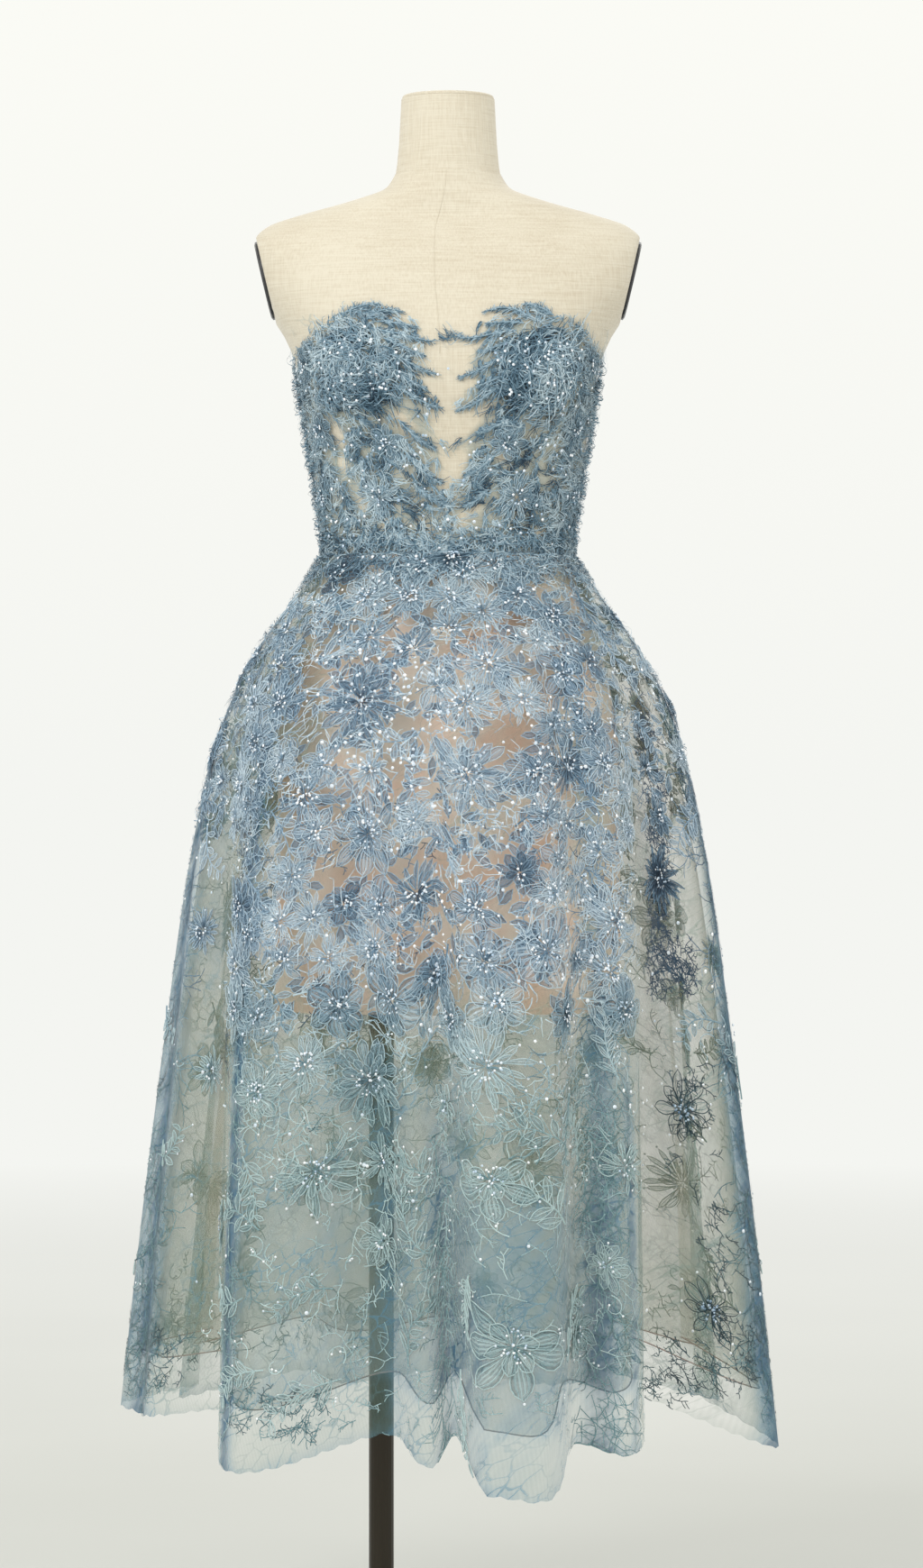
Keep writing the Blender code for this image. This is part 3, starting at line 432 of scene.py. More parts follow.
def cloth_shell(name, cloth, first, last, material, slot, tone):
    """The stretch of a cloth between two angles, as one shell with flat coordinates in metres."""
    columns = np.nonzero((cloth.angles >= first - ROUNDING) & (cloth.angles <= last + ROUNDING))[0]
    rows = np.nonzero((cloth.shares >= -ROUNDING) & (cloth.shares <= 1 + ROUNDING))[0][::ROW_STEP]
    picked = np.ix_(rows, columns)
    batch = Batch()
    uv = np.stack([cloth.along[picked], -cloth.down[picked]], -1).reshape(-1, 2)
    faces = grid_faces(len(rows), len(columns))
    batch.add(cloth.points[picked].reshape(-1, 3), faces, tone[picked].ravel(), uv)
    return batch.make(name, material, slot)


def flat_area(obj):
    return sum(face.area for face in obj.data.polygons)


SHARP_DEG = 40  # from which an edge of the torso is shaded as sharp


def loft(name, rings, material):
    """A closed solid through rings of equal length, flat at both ends."""
    rings = np.asarray(rings)
    faces = grid_faces(*rings.shape[:2], closed=True).tolist()
    around = rings.shape[1]
    faces.append(list(range(around)))
    faces.append(list(range(len(rings) * around - 1, (len(rings) - 1) * around - 1, -1)))
    made = mesh_object(name, rings.reshape(-1, 3), faces, material)
    made.data.set_sharp_from_angle(angle=math.radians(SHARP_DEG))
    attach(made, "root")
    return made


UPRIGHT = 0.05  # sine of the angle from the vertical below which a line counts as upright


def tube_sections(path, radius, corners, closed=False):
    """Round cross-sections along a line in space, for Batch.strips: 1 x steps x corners x 3."""
    path = np.asarray(path, float)
    if closed:
        path = np.concatenate([path, path[:1]])
    tangent = np.gradient(path, axis=0)
    if closed:
        tangent[0] = tangent[-1] = path[1] - path[-2]
    tangent /= np.linalg.norm(tangent, axis=1, keepdims=True)
    side = np.cross(tangent, (0, 0, 1))
    upright = np.linalg.norm(side, axis=1) < UPRIGHT
    side[upright] = np.cross(tangent[upright], (0, 1, 0))
    side /= np.linalg.norm(side, axis=1, keepdims=True)
    up = np.cross(side, tangent)
    turns = np.arange(corners) * 2 * np.pi / corners
    ring = side[:, None] * np.cos(turns)[:, None] + up[:, None] * np.sin(turns)[:, None]
    return (path[:, None] + ring * np.broadcast_to(radius, (len(path),))[:, None, None])[None]


# ---------------------------------------------------------------- materials
def colour(red, green, blue):
    """A colour from its 0 to 255 screen values, as Blender's linear values."""
    screen = np.array([red, green, blue]) / 255
    linear = np.where(screen <= 0.04045, screen / 12.92, ((screen + 0.055) / 1.055) ** 2.4)
    return (*(float(v) for v in linear), 1.0)


class Shader:
    """A Principled material, with short ways to add the nodes that drive it."""

    def __init__(self, name, **sockets):
        self.material = bpy.data.materials.new(name)
        self.material.use_nodes = True
        self.tree = self.material.node_tree
        self.surface = self.tree.nodes["Principled BSDF"]
        for socket, value in sockets.items():
            self.surface.inputs[socket.replace("_", " ")].default_value = value

    def node(self, kind, inputs=(), **settings):
        made = self.tree.nodes.new(kind)
        for key, value in settings.items():
            setattr(made, key, value)
        for key, value in dict(inputs).items():
            if isinstance(value, bpy.types.NodeSocket):
                self.tree.links.new(value, made.inputs[key])
            else:
                made.inputs[key].default_value = value
        return made

    def drive(self, socket, value):
        self.tree.links.new(value, self.surface.inputs[socket])

    def place(self, kind="Object", stretch=(1, 1, 1)):
        where = self.node("ShaderNodeTexCoord").outputs[kind]
        return self.node("ShaderNodeMapping", {"Vector": where, "Scale": stretch}).outputs["Vector"]

    def tone(self):
        return self.node("ShaderNodeAttribute", attribute_name="tone").outputs["Fac"]

    def noise(self, vector, scale, detail=3.0):
        inputs = {"Vector": vector, "Scale": scale, "Detail": detail}
        return self.node("ShaderNodeTexNoise", inputs).outputs["Fac"]

    def wave(self, vector, scale, direction, distortion=0.0):
        inputs = {"Vector": vector, "Scale": scale, "Distortion": distortion, "Detail": 1.0}
        return self.node("ShaderNodeTexWave", inputs, bands_direction=direction).outputs["Fac"]

    def maths(self, operation, a, b=0.0):
        return self.node("ShaderNodeMath", {0: a, 1: b}, operation=operation).outputs[0]

    def add(self, a, b):
        return self.maths("ADD", a, b)

    def times(self, a, b):
        return self.maths("MULTIPLY", a, b)

    def span(self, value, low, high, to_low, to_high):
        inputs = {"Value": value, "From Min": low, "From Max": high, "To Min": to_low, "To Max": to_high}
        return self.node("ShaderNodeMapRange", inputs).outputs["Result"]

    def ramp(self, value, stops):
        made = self.node("ShaderNodeValToRGB", {"Fac": value})
        for k, (at, shade) in enumerate(stops):
            stop = made.color_ramp.elements[k] if k < 2 else made.color_ramp.elements.new(at)
            stop.position, stop.color = at, shade
        return made.outputs["Color"]

    def bump(self, height, strength, distance):
        inputs = {"Height": height, "Strength": strength, "Distance": distance}
        self.drive("Normal", self.node("ShaderNodeBump", inputs).outputs["Normal"])


COOL_TONES = (  # thread from pale to deep, as on the front of the skirt
    (0.0, colour(200, 217, 228)),
    (0.25, colour(157, 183, 203)),
    (0.5, colour(114, 144, 168)),
    (0.75, colour(74, 106, 131)),
    (1.0, colour(36, 60, 82)),
)
GREEN_TONES = (  # the same low on the skirt
    (0.0, colour(186, 209, 210)),
    (0.25, colour(144, 173, 178)),
    (0.5, colour(104, 140, 147)),
    (0.75, colour(72, 106, 114)),
    (1.0, colour(34, 58, 68)),
)
NET_TONES = ((0.0, colour(108, 136, 124)), (0.5, colour(88, 134, 152)), (1.0, colour(50, 96, 122)))
BODICE_NET_TONES = ((0.0, colour(150, 174, 176)), (1.0, colour(116, 148, 162)))
ORGANZA_TONES = ((0.3, colour(162, 162, 134)), (0.7, colour(184, 176, 150)))
ROLLED_TONES = ((0.3, colour(150, 128, 122)), (0.7, colour(178, 156, 148)))
SLIP_TONES = ((0.3, colour(255, 214, 188)), (0.6, colour(255, 240, 224)))
LINEN_TONES = (
    (0.45, colour(192, 179, 157)),
    (0.60, colour(203, 193, 173)),
    (0.78, colour(213, 205, 187)),
)
BEAD_TONES = (
    (0.0, colour(250, 252, 255)),
    (0.5, colour(176, 200, 222)),
    (1.0, colour(90, 122, 150)),
)
TAPE_TONES = ((0.1, colour(84, 116, 140)), (0.9, colour(140, 168, 188)))
FLOOR_TONES = ((0.3, colour(196, 197, 193)), (0.7, colour(202, 203, 199)))


def thread_colour(shader, tone):
    """The thread's colour from its tone: cool down to the knee, greener below and on the bodice."""
    height = shader.node("ShaderNodeSeparateXYZ", {0: shader.place()}).outputs["Z"]
    over_knee = shader.span(height, 0.56, 0.72, 0.0, 1.0)
    under_waist = shader.span(height, 1.00, 1.12, 1.0, 0.70)
    cool = shader.times(over_knee, under_waist)
    inputs = {0: cool, 6: shader.ramp(tone, GREEN_TONES), 7: shader.ramp(tone, COOL_TONES)}
    return shader.node("ShaderNodeMix", inputs, data_type="RGBA").outputs[2]


def thread_material():
    shader = Shader("lace_thread", Roughness=0.7, Sheen_Weight=0.08, Sheen_Roughness=0.4)
    place = shader.place()
    speck = shader.noise(place, 420.0, 2.0)
    tone = shader.add(shader.tone(), shader.span(speck, 0.3, 0.7, -0.16, 0.16))
    shader.drive("Base Color", thread_colour(shader, tone))
    twist = shader.wave(place, 900.0, "DIAGONAL", 3.0)
    shader.bump(twist, 0.5, 0.0004)
    return shader.material


def petal_material():
    """Fine threads side by side: hatched along the petal, more open where they are pale, and darker towards
    the rim and the base in painted shade.
    """
    shader = Shader("lace_petal", Roughness=0.7, Sheen_Weight=0.08)
    flat = shader.place("UV")
    hatch = shader.wave(flat, 0.8, "X", 0.9)
    tone = shader.tone()
    parts = shader.node("ShaderNodeSeparateXYZ", {0: flat}).outputs
    rim = shader.maths("ABSOLUTE", parts["X"])
    # Painted shade: the petal's colour darkens towards its rim and its base, where the raised outline and the
    # flower's middle would shade it.
    painted_shade = shader.add(shader.span(rim, 0.4, 1.0, 0, 0.42), shader.span(parts["Y"], 0, 0.45, 0.36, 0))
    shade = shader.add(tone, shader.span(hatch, 0, 1, 0.22, -0.26))
    shade = shader.add(shade, painted_shade)
    shader.drive("Base Color", thread_colour(shader, shade))
    cover = shader.span(tone, 0.1, 0.8, 0.02, 0.46)
    cover = shader.add(cover, shader.span(rim, 0.5, 1.0, 0, 0.22))
    shader.drive("Alpha", shader.add(cover, shader.span(hatch, 0, 1, 0.0, 0.36)))
    shader.bump(hatch, 0.5, 0.0005)
    return shader.material


def net_material(name, tones):
    """Fine net: mostly clear, a little cloudy, with thin threads that run in an uneven web."""
    shader = Shader(name, Roughness=0.6, Sheen_Weight=0.15)
    flat = shader.place("UV")
    drift = shader.node("ShaderNodeTexNoise", {"Vector": flat, "Scale": 38.0, "Detail": 2.0})
    bent = shader.node(
        "ShaderNodeMix",
        {"Factor": 0.022, 4: flat, 5: drift.outputs["Color"]},
        data_type="VECTOR",
    ).outputs[1]
    cells = shader.node(
        "ShaderNodeTexVoronoi", {"Vector": bent, "Scale": 62.0}, feature="DISTANCE_TO_EDGE"
    ).outputs["Distance"]
    web = shader.span(cells, 0.02, 0.07, 1.0, 0.0)
    cloud = shader.noise(flat, 16.0, 4.0)
    weave = shader.wave(flat, 160.0, "DIAGONAL", 0.6)
    tone = shader.tone()
    strength = shader.times(web, shader.span(cloud, 0.42, 0.62, 0.0, 0.30))
    clear = shader.add(shader.span(cloud, 0.3, 0.7, 0.18, 0.28), strength)
    clear = shader.add(clear, shader.span(weave, 0, 1, -0.02, 0.03))
    crinkle = shader.noise(shader.place("UV", (60, 9, 1)), 1.0, 3.0)
    gathered = shader.times(tone, shader.span(crinkle, 0.35, 0.65, 0.7, 1.3))
    shader.drive("Alpha", shader.add(clear, gathered))
    shade = shader.add(shader.times(gathered, 2.0), strength)
    shader.drive("Base Color", shader.ramp(shade, tones))
    return shader.material


def organza_material():
    shader = Shader("nude_organza", Roughness=0.5, Sheen_Weight=0.2)
    flat = shader.place("UV")
    moire = shader.wave(flat, 21.0, "DIAGONAL", 5.0)
    weave = shader.wave(flat, 240.0, "X", 0.4)
    cloud = shader.noise(flat, 9.0, 3.0)
    shader.drive("Base Color", shader.ramp(cloud, ORGANZA_TONES))
    clear = shader.add(shader.span(moire, 0, 1, 0.23, 0.28), shader.span(weave, 0, 1, 0, 0.03))
    shader.drive("Alpha", shader.add(clear, shader.tone()))
    return shader.material


def slip_material():
    shader = Shader("nude_crepe", Roughness=0.42, Sheen_Weight=0.3)
    flat = shader.place("UV")
    crepe = shader.noise(flat, 900.0, 2.0)
    cloud = shader.noise(flat, 14.0, 3.0)
    shader.drive("Base Color", shader.ramp(cloud, SLIP_TONES))
    shader.drive("Roughness", shader.span(crepe, 0.3, 0.7, 0.36, 0.50))
    shader.bump(crepe, 0.25, 0.0003)
    return shader.material


def linen_material():
    shader = Shader("linen", Roughness=0.85, Sheen_Weight=0.2)
    warp = shader.noise(shader.place(stretch=(700, 700, 28)), 1.0, 3.0)
    weft = shader.noise(shader.place(stretch=(30, 30, 800)), 1.0, 3.0)
    threads = shader.add(warp, weft)
    cloud = shader.noise(shader.place(), 7.0, 4.0)
    shade = shader.add(shader.times(threads, 0.45), shader.times(cloud, 0.5))
    shader.drive("Base Color", shader.ramp(shade, LINEN_TONES))
    shader.bump(threads, 0.5, 0.0006)
    return shader.material


def metal_material(name, base, rough):
    shader = Shader(name, Metallic=0.8, Coat_Weight=0.2)
    place = shader.place(stretch=(60, 60, 5))
    grain = shader.noise(place, 1.0, 5.0)
    darker = tuple(v * 0.7 for v in base[:3]) + (1.0,)
    shader.drive("Base Color", shader.ramp(grain, ((0.35, darker), (0.65, base))))
    shader.drive("Roughness", shader.span(grain, 0.3, 0.7, rough * 0.85, rough * 1.2))
    shader.bump(grain, 0.15, 0.0003)
    return shader.material


def rolled_material():
    shader = Shader("rolled_hem", Roughness=0.5)
    place = shader.place()
    shader.drive("Base Color", shader.ramp(shader.noise(place, 160.0), ROLLED_TONES))
    shader.bump(shader.wave(place, 500.0, "DIAGONAL"), 0.4, 0.0003)
    return shader.material


def bead_material():
    shader = Shader("beads", Roughness=0.18, Coat_Weight=0.6)
    speck = shader.noise(shader.place(), 900.0, 1.0)
    tone = shader.add(shader.tone(), shader.span(speck, 0.3, 0.7, -0.1, 0.1))
    shader.drive("Base Color", shader.ramp(tone, BEAD_TONES))
    return shader.material


def tape_material():
    shader = Shader("zip_tape", Roughness=0.75)
    ribs = shader.wave(shader.place(), 700.0, "Z", 0.3)
    shade = shader.add(shader.times(ribs, 0.5), shader.times(shader.tone(), 0.5))
    shader.drive("Base Color", shader.ramp(shade, TAPE_TONES))
    shader.bump(ribs, 0.5, 0.0003)
    return shader.material


# ---------------------------------------------------------------- lace, drawn flat
PETAL_STEPS = 7
PETAL_SIDES = np.array([-1.0, 0.0, 1.0])
MIDDLE_LIFT, EDGE_LIFT = 0.0008, 0.0006  # of a petal over the cloth
OUTLINE_LIFT, VEIN_LIFT = 0.0006, 0.0005  # of its cords over the petal
STRAND_LIFT = 0.0009  # the least height of a loose thread over the cloth
RIDGE_RISE = 1.6  # of a cord's ridge, in half widths
BEAD_SIDES = 6
BEAD_DEPTH = 0.7  # from its middle to its tip, in radii


def turned(angles_deg):
    """Unit vectors, flat, for directions measured from straight up the cloth towards +x."""
    angles = np.radians(angles_deg)
    return np.stack([np.sin(angles), -np.cos(angles)], -1)


def petal_grids(bases, angles_deg, lengths, widths, tip, bend=0.16, steps=PETAL_STEPS):
    """Petals as petals x (steps + 1) x 3 x 2: left edge, midline and right edge from base to tip.

    A larger tip puts the widest place nearer the end.
    """
    axis = turned(angles_deg)[:, None]
    side = turned(np.asarray(angles_deg) + 90)[:, None]
    t = np.linspace(0, 1, steps + 1)[None, :, None]
    half = np.sin(np.pi * t**tip) ** 0.75 * np.asarray(widths)[:, None, None] / 2
    lengths = np.asarray(lengths)[:, None, None]
    sway = random.normal(0, bend, (len(lengths), 1, 1)) * lengths * t**2
    middle = np.asarray(bases)[:, None] + axis * t * lengths + side * sway
    return np.stack([middle - side * half, middle, middle + side * half], axis=2)


class Lace:
    """Corded lace laid on a cloth: cords, hatched petals, beads and sequins, a batch of each."""

    def __init__(self, cloth):
        self.cloth = cloth
        self.cords, self.petals, self.beads = Batch(), Batch(), Batch()
        self.centre = (0.0, 0.0)
        self.lift = 0.0

    def move_to(self, angle_deg, drop, lift=0.0):
        self.centre = self.cloth.place(angle_deg, drop)
        self.lift = lift

    def on_cloth(self, flat, height):
        """Points and normals on the cloth, for flat places round the centre and heights over it."""
        return self.cloth.at(*self.cloth.lay(*self.centre, flat), np.asarray(height) + self.lift)

    def cord(self, flat, height, half_width, tone, ridge=True):
        """Lines (lines x steps x 2) as raised threads that thin out to their ends."""
        points, normals = self.on_cloth(flat, height)
        tangent = np.gradient(points, axis=1)
        side = np.cross(normals, tangent)
        side /= np.linalg.norm(side, axis=-1, keepdims=True) + 1e-12
        width = np.broadcast_to(np.asarray(half_width, float), points.shape[:2])[..., None]
        sections = [points - side * width, points + side * width]
        if ridge:
            sections.insert(1, points + normals * width * RIDGE_RISE)
        self.cords.strips(np.stack(sections, axis=2), tone)

    def petal_set(self, grids, rise, tone, cord=0.0006, veins=1, edge=0.6, ridge=True, fill=True):
        """Hatched petals that rise to their middle, their outlines and their veins."""
        count, steps = grids.shape[:2]
        t = np.linspace(0, 1, steps)
        middle = MIDDLE_LIFT + rise * np.sin(np.pi * np.minimum(t * 0.8 + 0.12, 1))
        edges = EDGE_LIFT + rise * edge * t**0.7
        heights = np.stack([edges, middle, edges], -1)[None]
        points, _ = self.on_cloth(grids, heights)
        ids = np.arange(count * steps * 3).reshape(count, steps, 3)
        faces = np.stack([ids[:, :-1, :-1], ids[:, 1:, :-1], ids[:, 1:, 1:], ids[:, :-1, 1:]], -1)
        every = np.zeros((count, 1, 1))
        across, along, _ = np.broadcast_arrays(PETAL_SIDES, t[None, :, None], every)
        uv = np.stack([across, along], -1).reshape(-1, 2)
        tones = np.broadcast_to(np.asarray(tone, float).reshape(-1, 1, 1), (count, steps, 3))
        if fill:
            self.petals.add(points.reshape(-1, 3), faces.reshape(-1, 4), tones.ravel(), uv)

        outline = np.concatenate([grids[:, :, 0], grids[:, ::-1, 2][:, 1:]], axis=1)
        height = np.concatenate([edges, edges[::-1][1:]]) + OUTLINE_LIFT
        self.cord(outline, height, cord, np.asarray(tone) * 0.75 - 0.24 if fill else tone, ridge)
        if veins:
            spots = np.linspace(-0.5, 0.5, veins) if veins > 1 else np.zeros(1)
            for spot in spots:
                line = grids[:, :-1, 1] + (grids[:, :-1, 2] - grids[:, :-1, 1]) * spot
                thin = cord * 0.7 * (1 - t[:-1]) ** 0.4
                self.cord(line, middle[:-1] + VEIN_LIFT, thin, np.asarray(tone) - 0.2, ridge=False)

    def bead(self, flat, height, radius, tone):
        """Small faceted beads at flat places (n x 2)."""
        points, normals = self.on_cloth(flat, height)
        add_beads(self.beads, points, normals, radius, tone)

    def eye(self, radius, count, tone, deeper=0.0):
        """A flower's eye: short threads that stand out, and a close cluster of small beads."""
        spokes = random.uniform(0, 360, count)
        ends = turned(spokes) * (radius * np.sqrt(random.uniform(0.0, 1.0, count)) * 0.34)[:, None]
        line = ends[:, None] * np.array([0.1, 0.6, 1.0])[None, :, None]
        self.cord(line[::2], np.array([0.004, 0.0055, 0.0045]), 0.0004, tone, ridge=False)
        sizes = random.uniform(0.0009, 0.0015, count)
        self.bead(ends, 0.0050, sizes, deeper + random.uniform(-0.1, 0.55, count))


def add_beads(batch, points, normals, radius, tone):
    """Six-sided drops with a flat waist, facing out along the normals."""
    count = len(points)
    radius = np.broadcast_to(np.asarray(radius, float), (count,))[:, None, None]
    side = np.cross(normals, (0.0, 0.0, 1.0))
    side /= np.linalg.norm(side, axis=-1, keepdims=True) + 1e-12
    up = np.cross(normals, side)
    turns = np.arange(BEAD_SIDES) * 2 * np.pi / BEAD_SIDES
    rim = side[:, None] * np.cos(turns)[None, :, None] + up[:, None] * np.sin(turns)[None, :, None]
    rim = points[:, None] + rim * radius
    tips = normals * radius[:, 0] * BEAD_DEPTH
    corners = np.concatenate([rim, np.stack([points + tips, points - tips], axis=1)], axis=1)
    ids = (np.arange(count) * (BEAD_SIDES + 2))[:, None]
    front, back = ids + BEAD_SIDES, ids + BEAD_SIDES + 1
    faces = []
    for k in range(BEAD_SIDES):
        after = (k + 1) % BEAD_SIDES
        faces.append(np.concatenate([ids + k, ids + after, front], axis=1))
        faces.append(np.concatenate([ids + after, ids + k, back], axis=1))
    tones = np.broadcast_to(np.asarray(tone, float).reshape(-1, 1), (count, BEAD_SIDES + 2))
    batch.add(corners.reshape(-1, 3), np.concatenate(faces), tones.ravel())


# Rings of a flower from the outside in: petals, then their start, length and width in shares of the
# flower's radius, where they are widest, how far they rise in metres, and veins
FLOWER_KINDS = {
    "dahlia": (
        (15, 0.30, 0.70, 0.23, 1.7, 0.0030, 1),
        (12, 0.16, 0.54, 0.21, 1.6, 0.0046, 1),
        (8, 0.06, 0.34, 0.18, 1.5, 0.0058, 0),
    ),
    "daisy": ((17, 0.20, 0.80, 0.15, 1.9, 0.0022, 1), (11, 0.10, 0.52, 0.14, 1.8, 0.0036, 0)),
    "anemone": ((6, 0.10, 0.90, 0.72, 1.35, 0.0036, 3), (5, 0.08, 0.50, 0.42, 1.3, 0.0052, 1)),
    "cosmos": ((8, 0.10, 0.90, 0.44, 1.5, 0.0030, 2), (7, 0.06, 0.50, 0.28, 1.4, 0.0046, 1)),
    "sketch": ((9, 0.10, 0.90, 0.34, 1.5, 0.0020, 2), (6, 0.06, 0.50, 0.26, 1.4, 0.0030, 1)),
    "thistle": ((22, 0.05, 0.95, 0.09, 1.2, 0.0046, 0), (16, 0.04, 0.66, 0.10, 1.2, 0.0062, 0)),
}


def flower(lace, kind, radius, tone, turn=0.0, spread=360.0, tips=False):
    """A flower of the kind's rings. With a spread under 360 it opens like a fan, seen from the side."""
    whole = spread >= 360
    rings = FLOWER_KINDS[kind]
    for ring, (petals, start, length, width, tip, rise, veins) in enumerate(rings):
        count = petals if whole else max(3, round(petals * spread / 360))
        step = spread / (count if whole else max(count - 1, 1))
        from_middle = np.arange(count) - (count - 1) / 2
        angles = turn + from_middle * step + random.normal(0, step * 0.12, count)
        lengths = radius * length * random.uniform(0.74, 1.12, count)
        widths = radius * width * random.uniform(0.75, 1.2, count)
        steps = PETAL_STEPS if radius > 0.03 else PETAL_STEPS - 2
        bases = turned(angles) * radius * start
        grids = petal_grids(bases, angles, lengths, widths, tip, steps=steps)
        tones = tone + random.normal(0, 0.06, count)
        cord = 0.00030 + 0.0045 * radius
        lace.petal_set(grids, rise, tones, cord, veins, ridge=radius > 0.024, fill=kind != "sketch")
        if tips and ring == 0:
            ends = grids[:, -1, 1] + turned(angles) * 0.0025
            lace.bead(ends, rise * 0.6, 0.0014, 0.1)
    lace.eye(radius, 26 if radius > 0.03 else 10, tone + 0.3, 0.5 if kind == "sketch" else 0.0)


STEM_BOW = 0.9  # share of half a wave that a stem bows through
STEM_TURN = 110  # degrees that its ends turn for a bend of 1


def stem_path(length, turn, bend, steps=9):
    """A bowed line from the centre, its end in the turn's direction."""
    t = np.linspace(0, 1, steps)
    bow = bend * length * np.sin(np.pi * t * STEM_BOW)
    return turned(turn) * (t * length)[:, None] + turned(turn + 90) * bow[:, None]


def on_stem(path, turn, bend, spots):
    """Places at shares of a bowed stem's length, and its directions there."""
    t = np.linspace(0, 1, len(path))
    places = np.stack([np.interp(spots, t, path[:, k]) for k in (0, 1)], -1)
    return places, turn + bend * STEM_TURN * np.cos(np.pi * spots * STEM_BOW)


def straight(starts, ends):
    """Straight flat lines of three points."""
    return starts[:, None] + (ends - starts)[:, None] * np.array([0, 0.5, 1])[None, :, None]


def spray(lace, length, turn, bend, leaves, tone, leaf=0.30, balls=True):
    """A bowed stem with leaves on alternate sides, and thin side threads that end in small balls."""
    path = stem_path(length, turn, bend)
    t = np.linspace(0, 1, len(path))
    lace.cord(path[None], 0.0014, 0.0009 * (1 - 0.6 * t), tone - 0.1)
    spots = np.linspace(0.12, 0.95, leaves)
    bases, local = on_stem(path, turn, bend, spots)
    swing = np.where(np.arange(leaves) % 2, 1, -1) * random.uniform(38, 66, leaves)
    sizes = length * leaf * random.uniform(0.75, 1.2, leaves) * (1.1 - 0.45 * spots)
    grids = petal_grids(bases, local + swing, sizes, sizes * 0.36, 1.25, 0.18, 5)
    lace.petal_set(grids, 0.0018, tone + random.normal(0, 0.05, leaves), 0.0005, 1)
    if balls:
        starts = bases[::2]
        angles = local[::2] - swing[::2] * 0.8
        reach = sizes[::2] * random.uniform(0.7, 1.3, len(starts))
        ends = starts + turned(angles) * reach[:, None]
        lace.cord(straight(starts, ends), 0.0012, 0.0004, tone - 0.15, ridge=False)
        lace.bead(ends, 0.0014, 0.0012, tone - 0.2)


def tendril(lace, length, turn, tone, balls=2):
    """A curling thread with a few short side threads that end in balls."""
    t = np.linspace(0, 1, 9)
    curl = random.choice((-1, 1)) * random.uniform(120, 260)
    headings = turn + curl * t**1.3
    path = np.cumsum(turned(headings) * length / 8, axis=0)
    lace.cord(path[None], 0.0016, 0.00055 * (1 - 0.5 * t), tone, ridge=False)
    picked = random.choice(np.arange(2, 9), balls, replace=False)
    ends = path[picked] + turned(headings[picked] + random.choice((-70, 70), balls)) * length * 0.14
    lace.cord(straight(path[picked], ends), 0.0016, 0.0004, tone, ridge=False)
    lace.bead(ends, 0.0018, 0.0012, tone - 0.1)


def twig(lace, length, turn, tone, branches=4, half_width=0.00042):
    """A wandering thread with side threads that fork off it."""
    steps = 6
    headings = turn + np.cumsum(random.normal(0, 24, steps))
    path = np.concatenate([[(0.0, 0.0)], np.cumsum(turned(headings) * length / steps, axis=0)])
    lace.cord(path[None], 0.0010, half_width, tone, ridge=False)
    picked = random.choice(np.arange(1, steps), branches, replace=False)
    angles = headings[picked] + random.choice((-1, 1), branches) * random.uniform(35, 80, branches)
    reach = length * random.uniform(0.16, 0.38, branches)
    t = np.linspace(0, 1, 4)[None, :, None]
    bow = np.sin(np.pi * t) * random.normal(0, 0.14, (branches, 1, 1))
    sway = turned(angles + 90)[:, None] * bow
    lines = path[picked][:, None] + (turned(angles)[:, None] * t + sway) * reach[:, None, None]
    lace.cord(lines, 0.0010, half_width * 0.85, tone, ridge=False)


def plume(lace, length, turn, bend, barbs, barb_length, tone, lift=0.003, spread=38.0):
    """A feather-like frond: a bowed spine and fine barbs that sweep forward on both sides."""
    path = stem_path(length, turn, bend, 8)
    t = np.linspace(0, 1, len(path))
    lace.cord(path[None], 0.001 + lift * np.sin(np.pi * t * 0.8), 0.0008 * (1 - 0.7 * t), tone)
    spots = random.uniform(0.02, 0.92, barbs)
    bases, local = on_stem(path, turn, bend, spots)
    angles = local + np.where(np.arange(barbs) % 2, 1, -1) * random.normal(spread, 10, barbs)
    reach = barb_length * random.uniform(0.6, 1.25, barbs) * (1.15 - 0.75 * spots)
    strands(lace, bases, angles, reach, tone + random.normal(0, 0.09, barbs), lift * 0.8)


def strands(
    lace,
    bases,
    angles_deg,
    reach,
    tones,
    lift,
    half_width=0.00048,
    curl=0.30,
    steps=4,
    bow=0.0,
    ridge=False,
):
    """Loose fine threads from their bases, bowed and curled over the cloth."""
    count = len(bases)
    t = np.linspace(0, 1, steps + 1)[None, :, None]
    along = t[..., 0]
    phase = random.uniform(0, 2 * np.pi, (count, 1, 1))
    waves = np.sin(t * 5.5 + phase) - np.sin(phase)
    bends = (t * waves * 0.5 + t**2) * random.normal(0, curl, (count, 1, 1)) + bow * t**2
    sway = turned(angles_deg + 90)[:, None] * bends
    lines = bases[:, None] + (turned(angles_deg)[:, None] * t + sway) * reach[:, None, None]
    lifts = lift * np.sin(np.pi * (along * 0.85 + 0.08)) * random.uniform(0.3, 1.3, (count, 1))
    rise = STRAND_LIFT + lifts
    thin = half_width * (1 - 0.55 * along)
    lace.cord(lines, rise, np.broadcast_to(thin, (count, steps + 1)), tones, ridge=ridge)


WISP_FAN = 20  # degrees from a wisp's middle thread to its outermost
WISP_HALF = 0.0024  # from its middle thread to its outermost, at its root


def wisp(lace, turn, reach, threads, tone, lift, half_width, bow):
    """A lock of threads side by side that lean together and end in a point."""
    spots = np.linspace(-1, 1, threads)
    bases = turned(turn + 90) * (spots * WISP_HALF)[:, None]
    bases = bases + random.normal(0, 0.0006, (threads, 2))
    angles = turn - spots * WISP_FAN * 0.4 + random.normal(0, 7, threads)
    lengths = reach * (1.1 - 0.45 * np.abs(spots)) * random.uniform(0.75, 1.2, threads)
    tones = tone + random.normal(0, 0.13, threads)
    strands(lace, bases, angles, lengths, tones, lift, half_width, 0.42, bow=bow)


# ---------------------------------------------------------------- cloth shells
thread, petal = thread_material(), petal_material()
net, bodice_net = net_material("lace_net", NET_TONES), net_material("bodice_net", BODICE_NET_TONES)
organza, crepe, linen = organza_material(), slip_material(), linen_material()
bead, tape = bead_material(), tape_material()

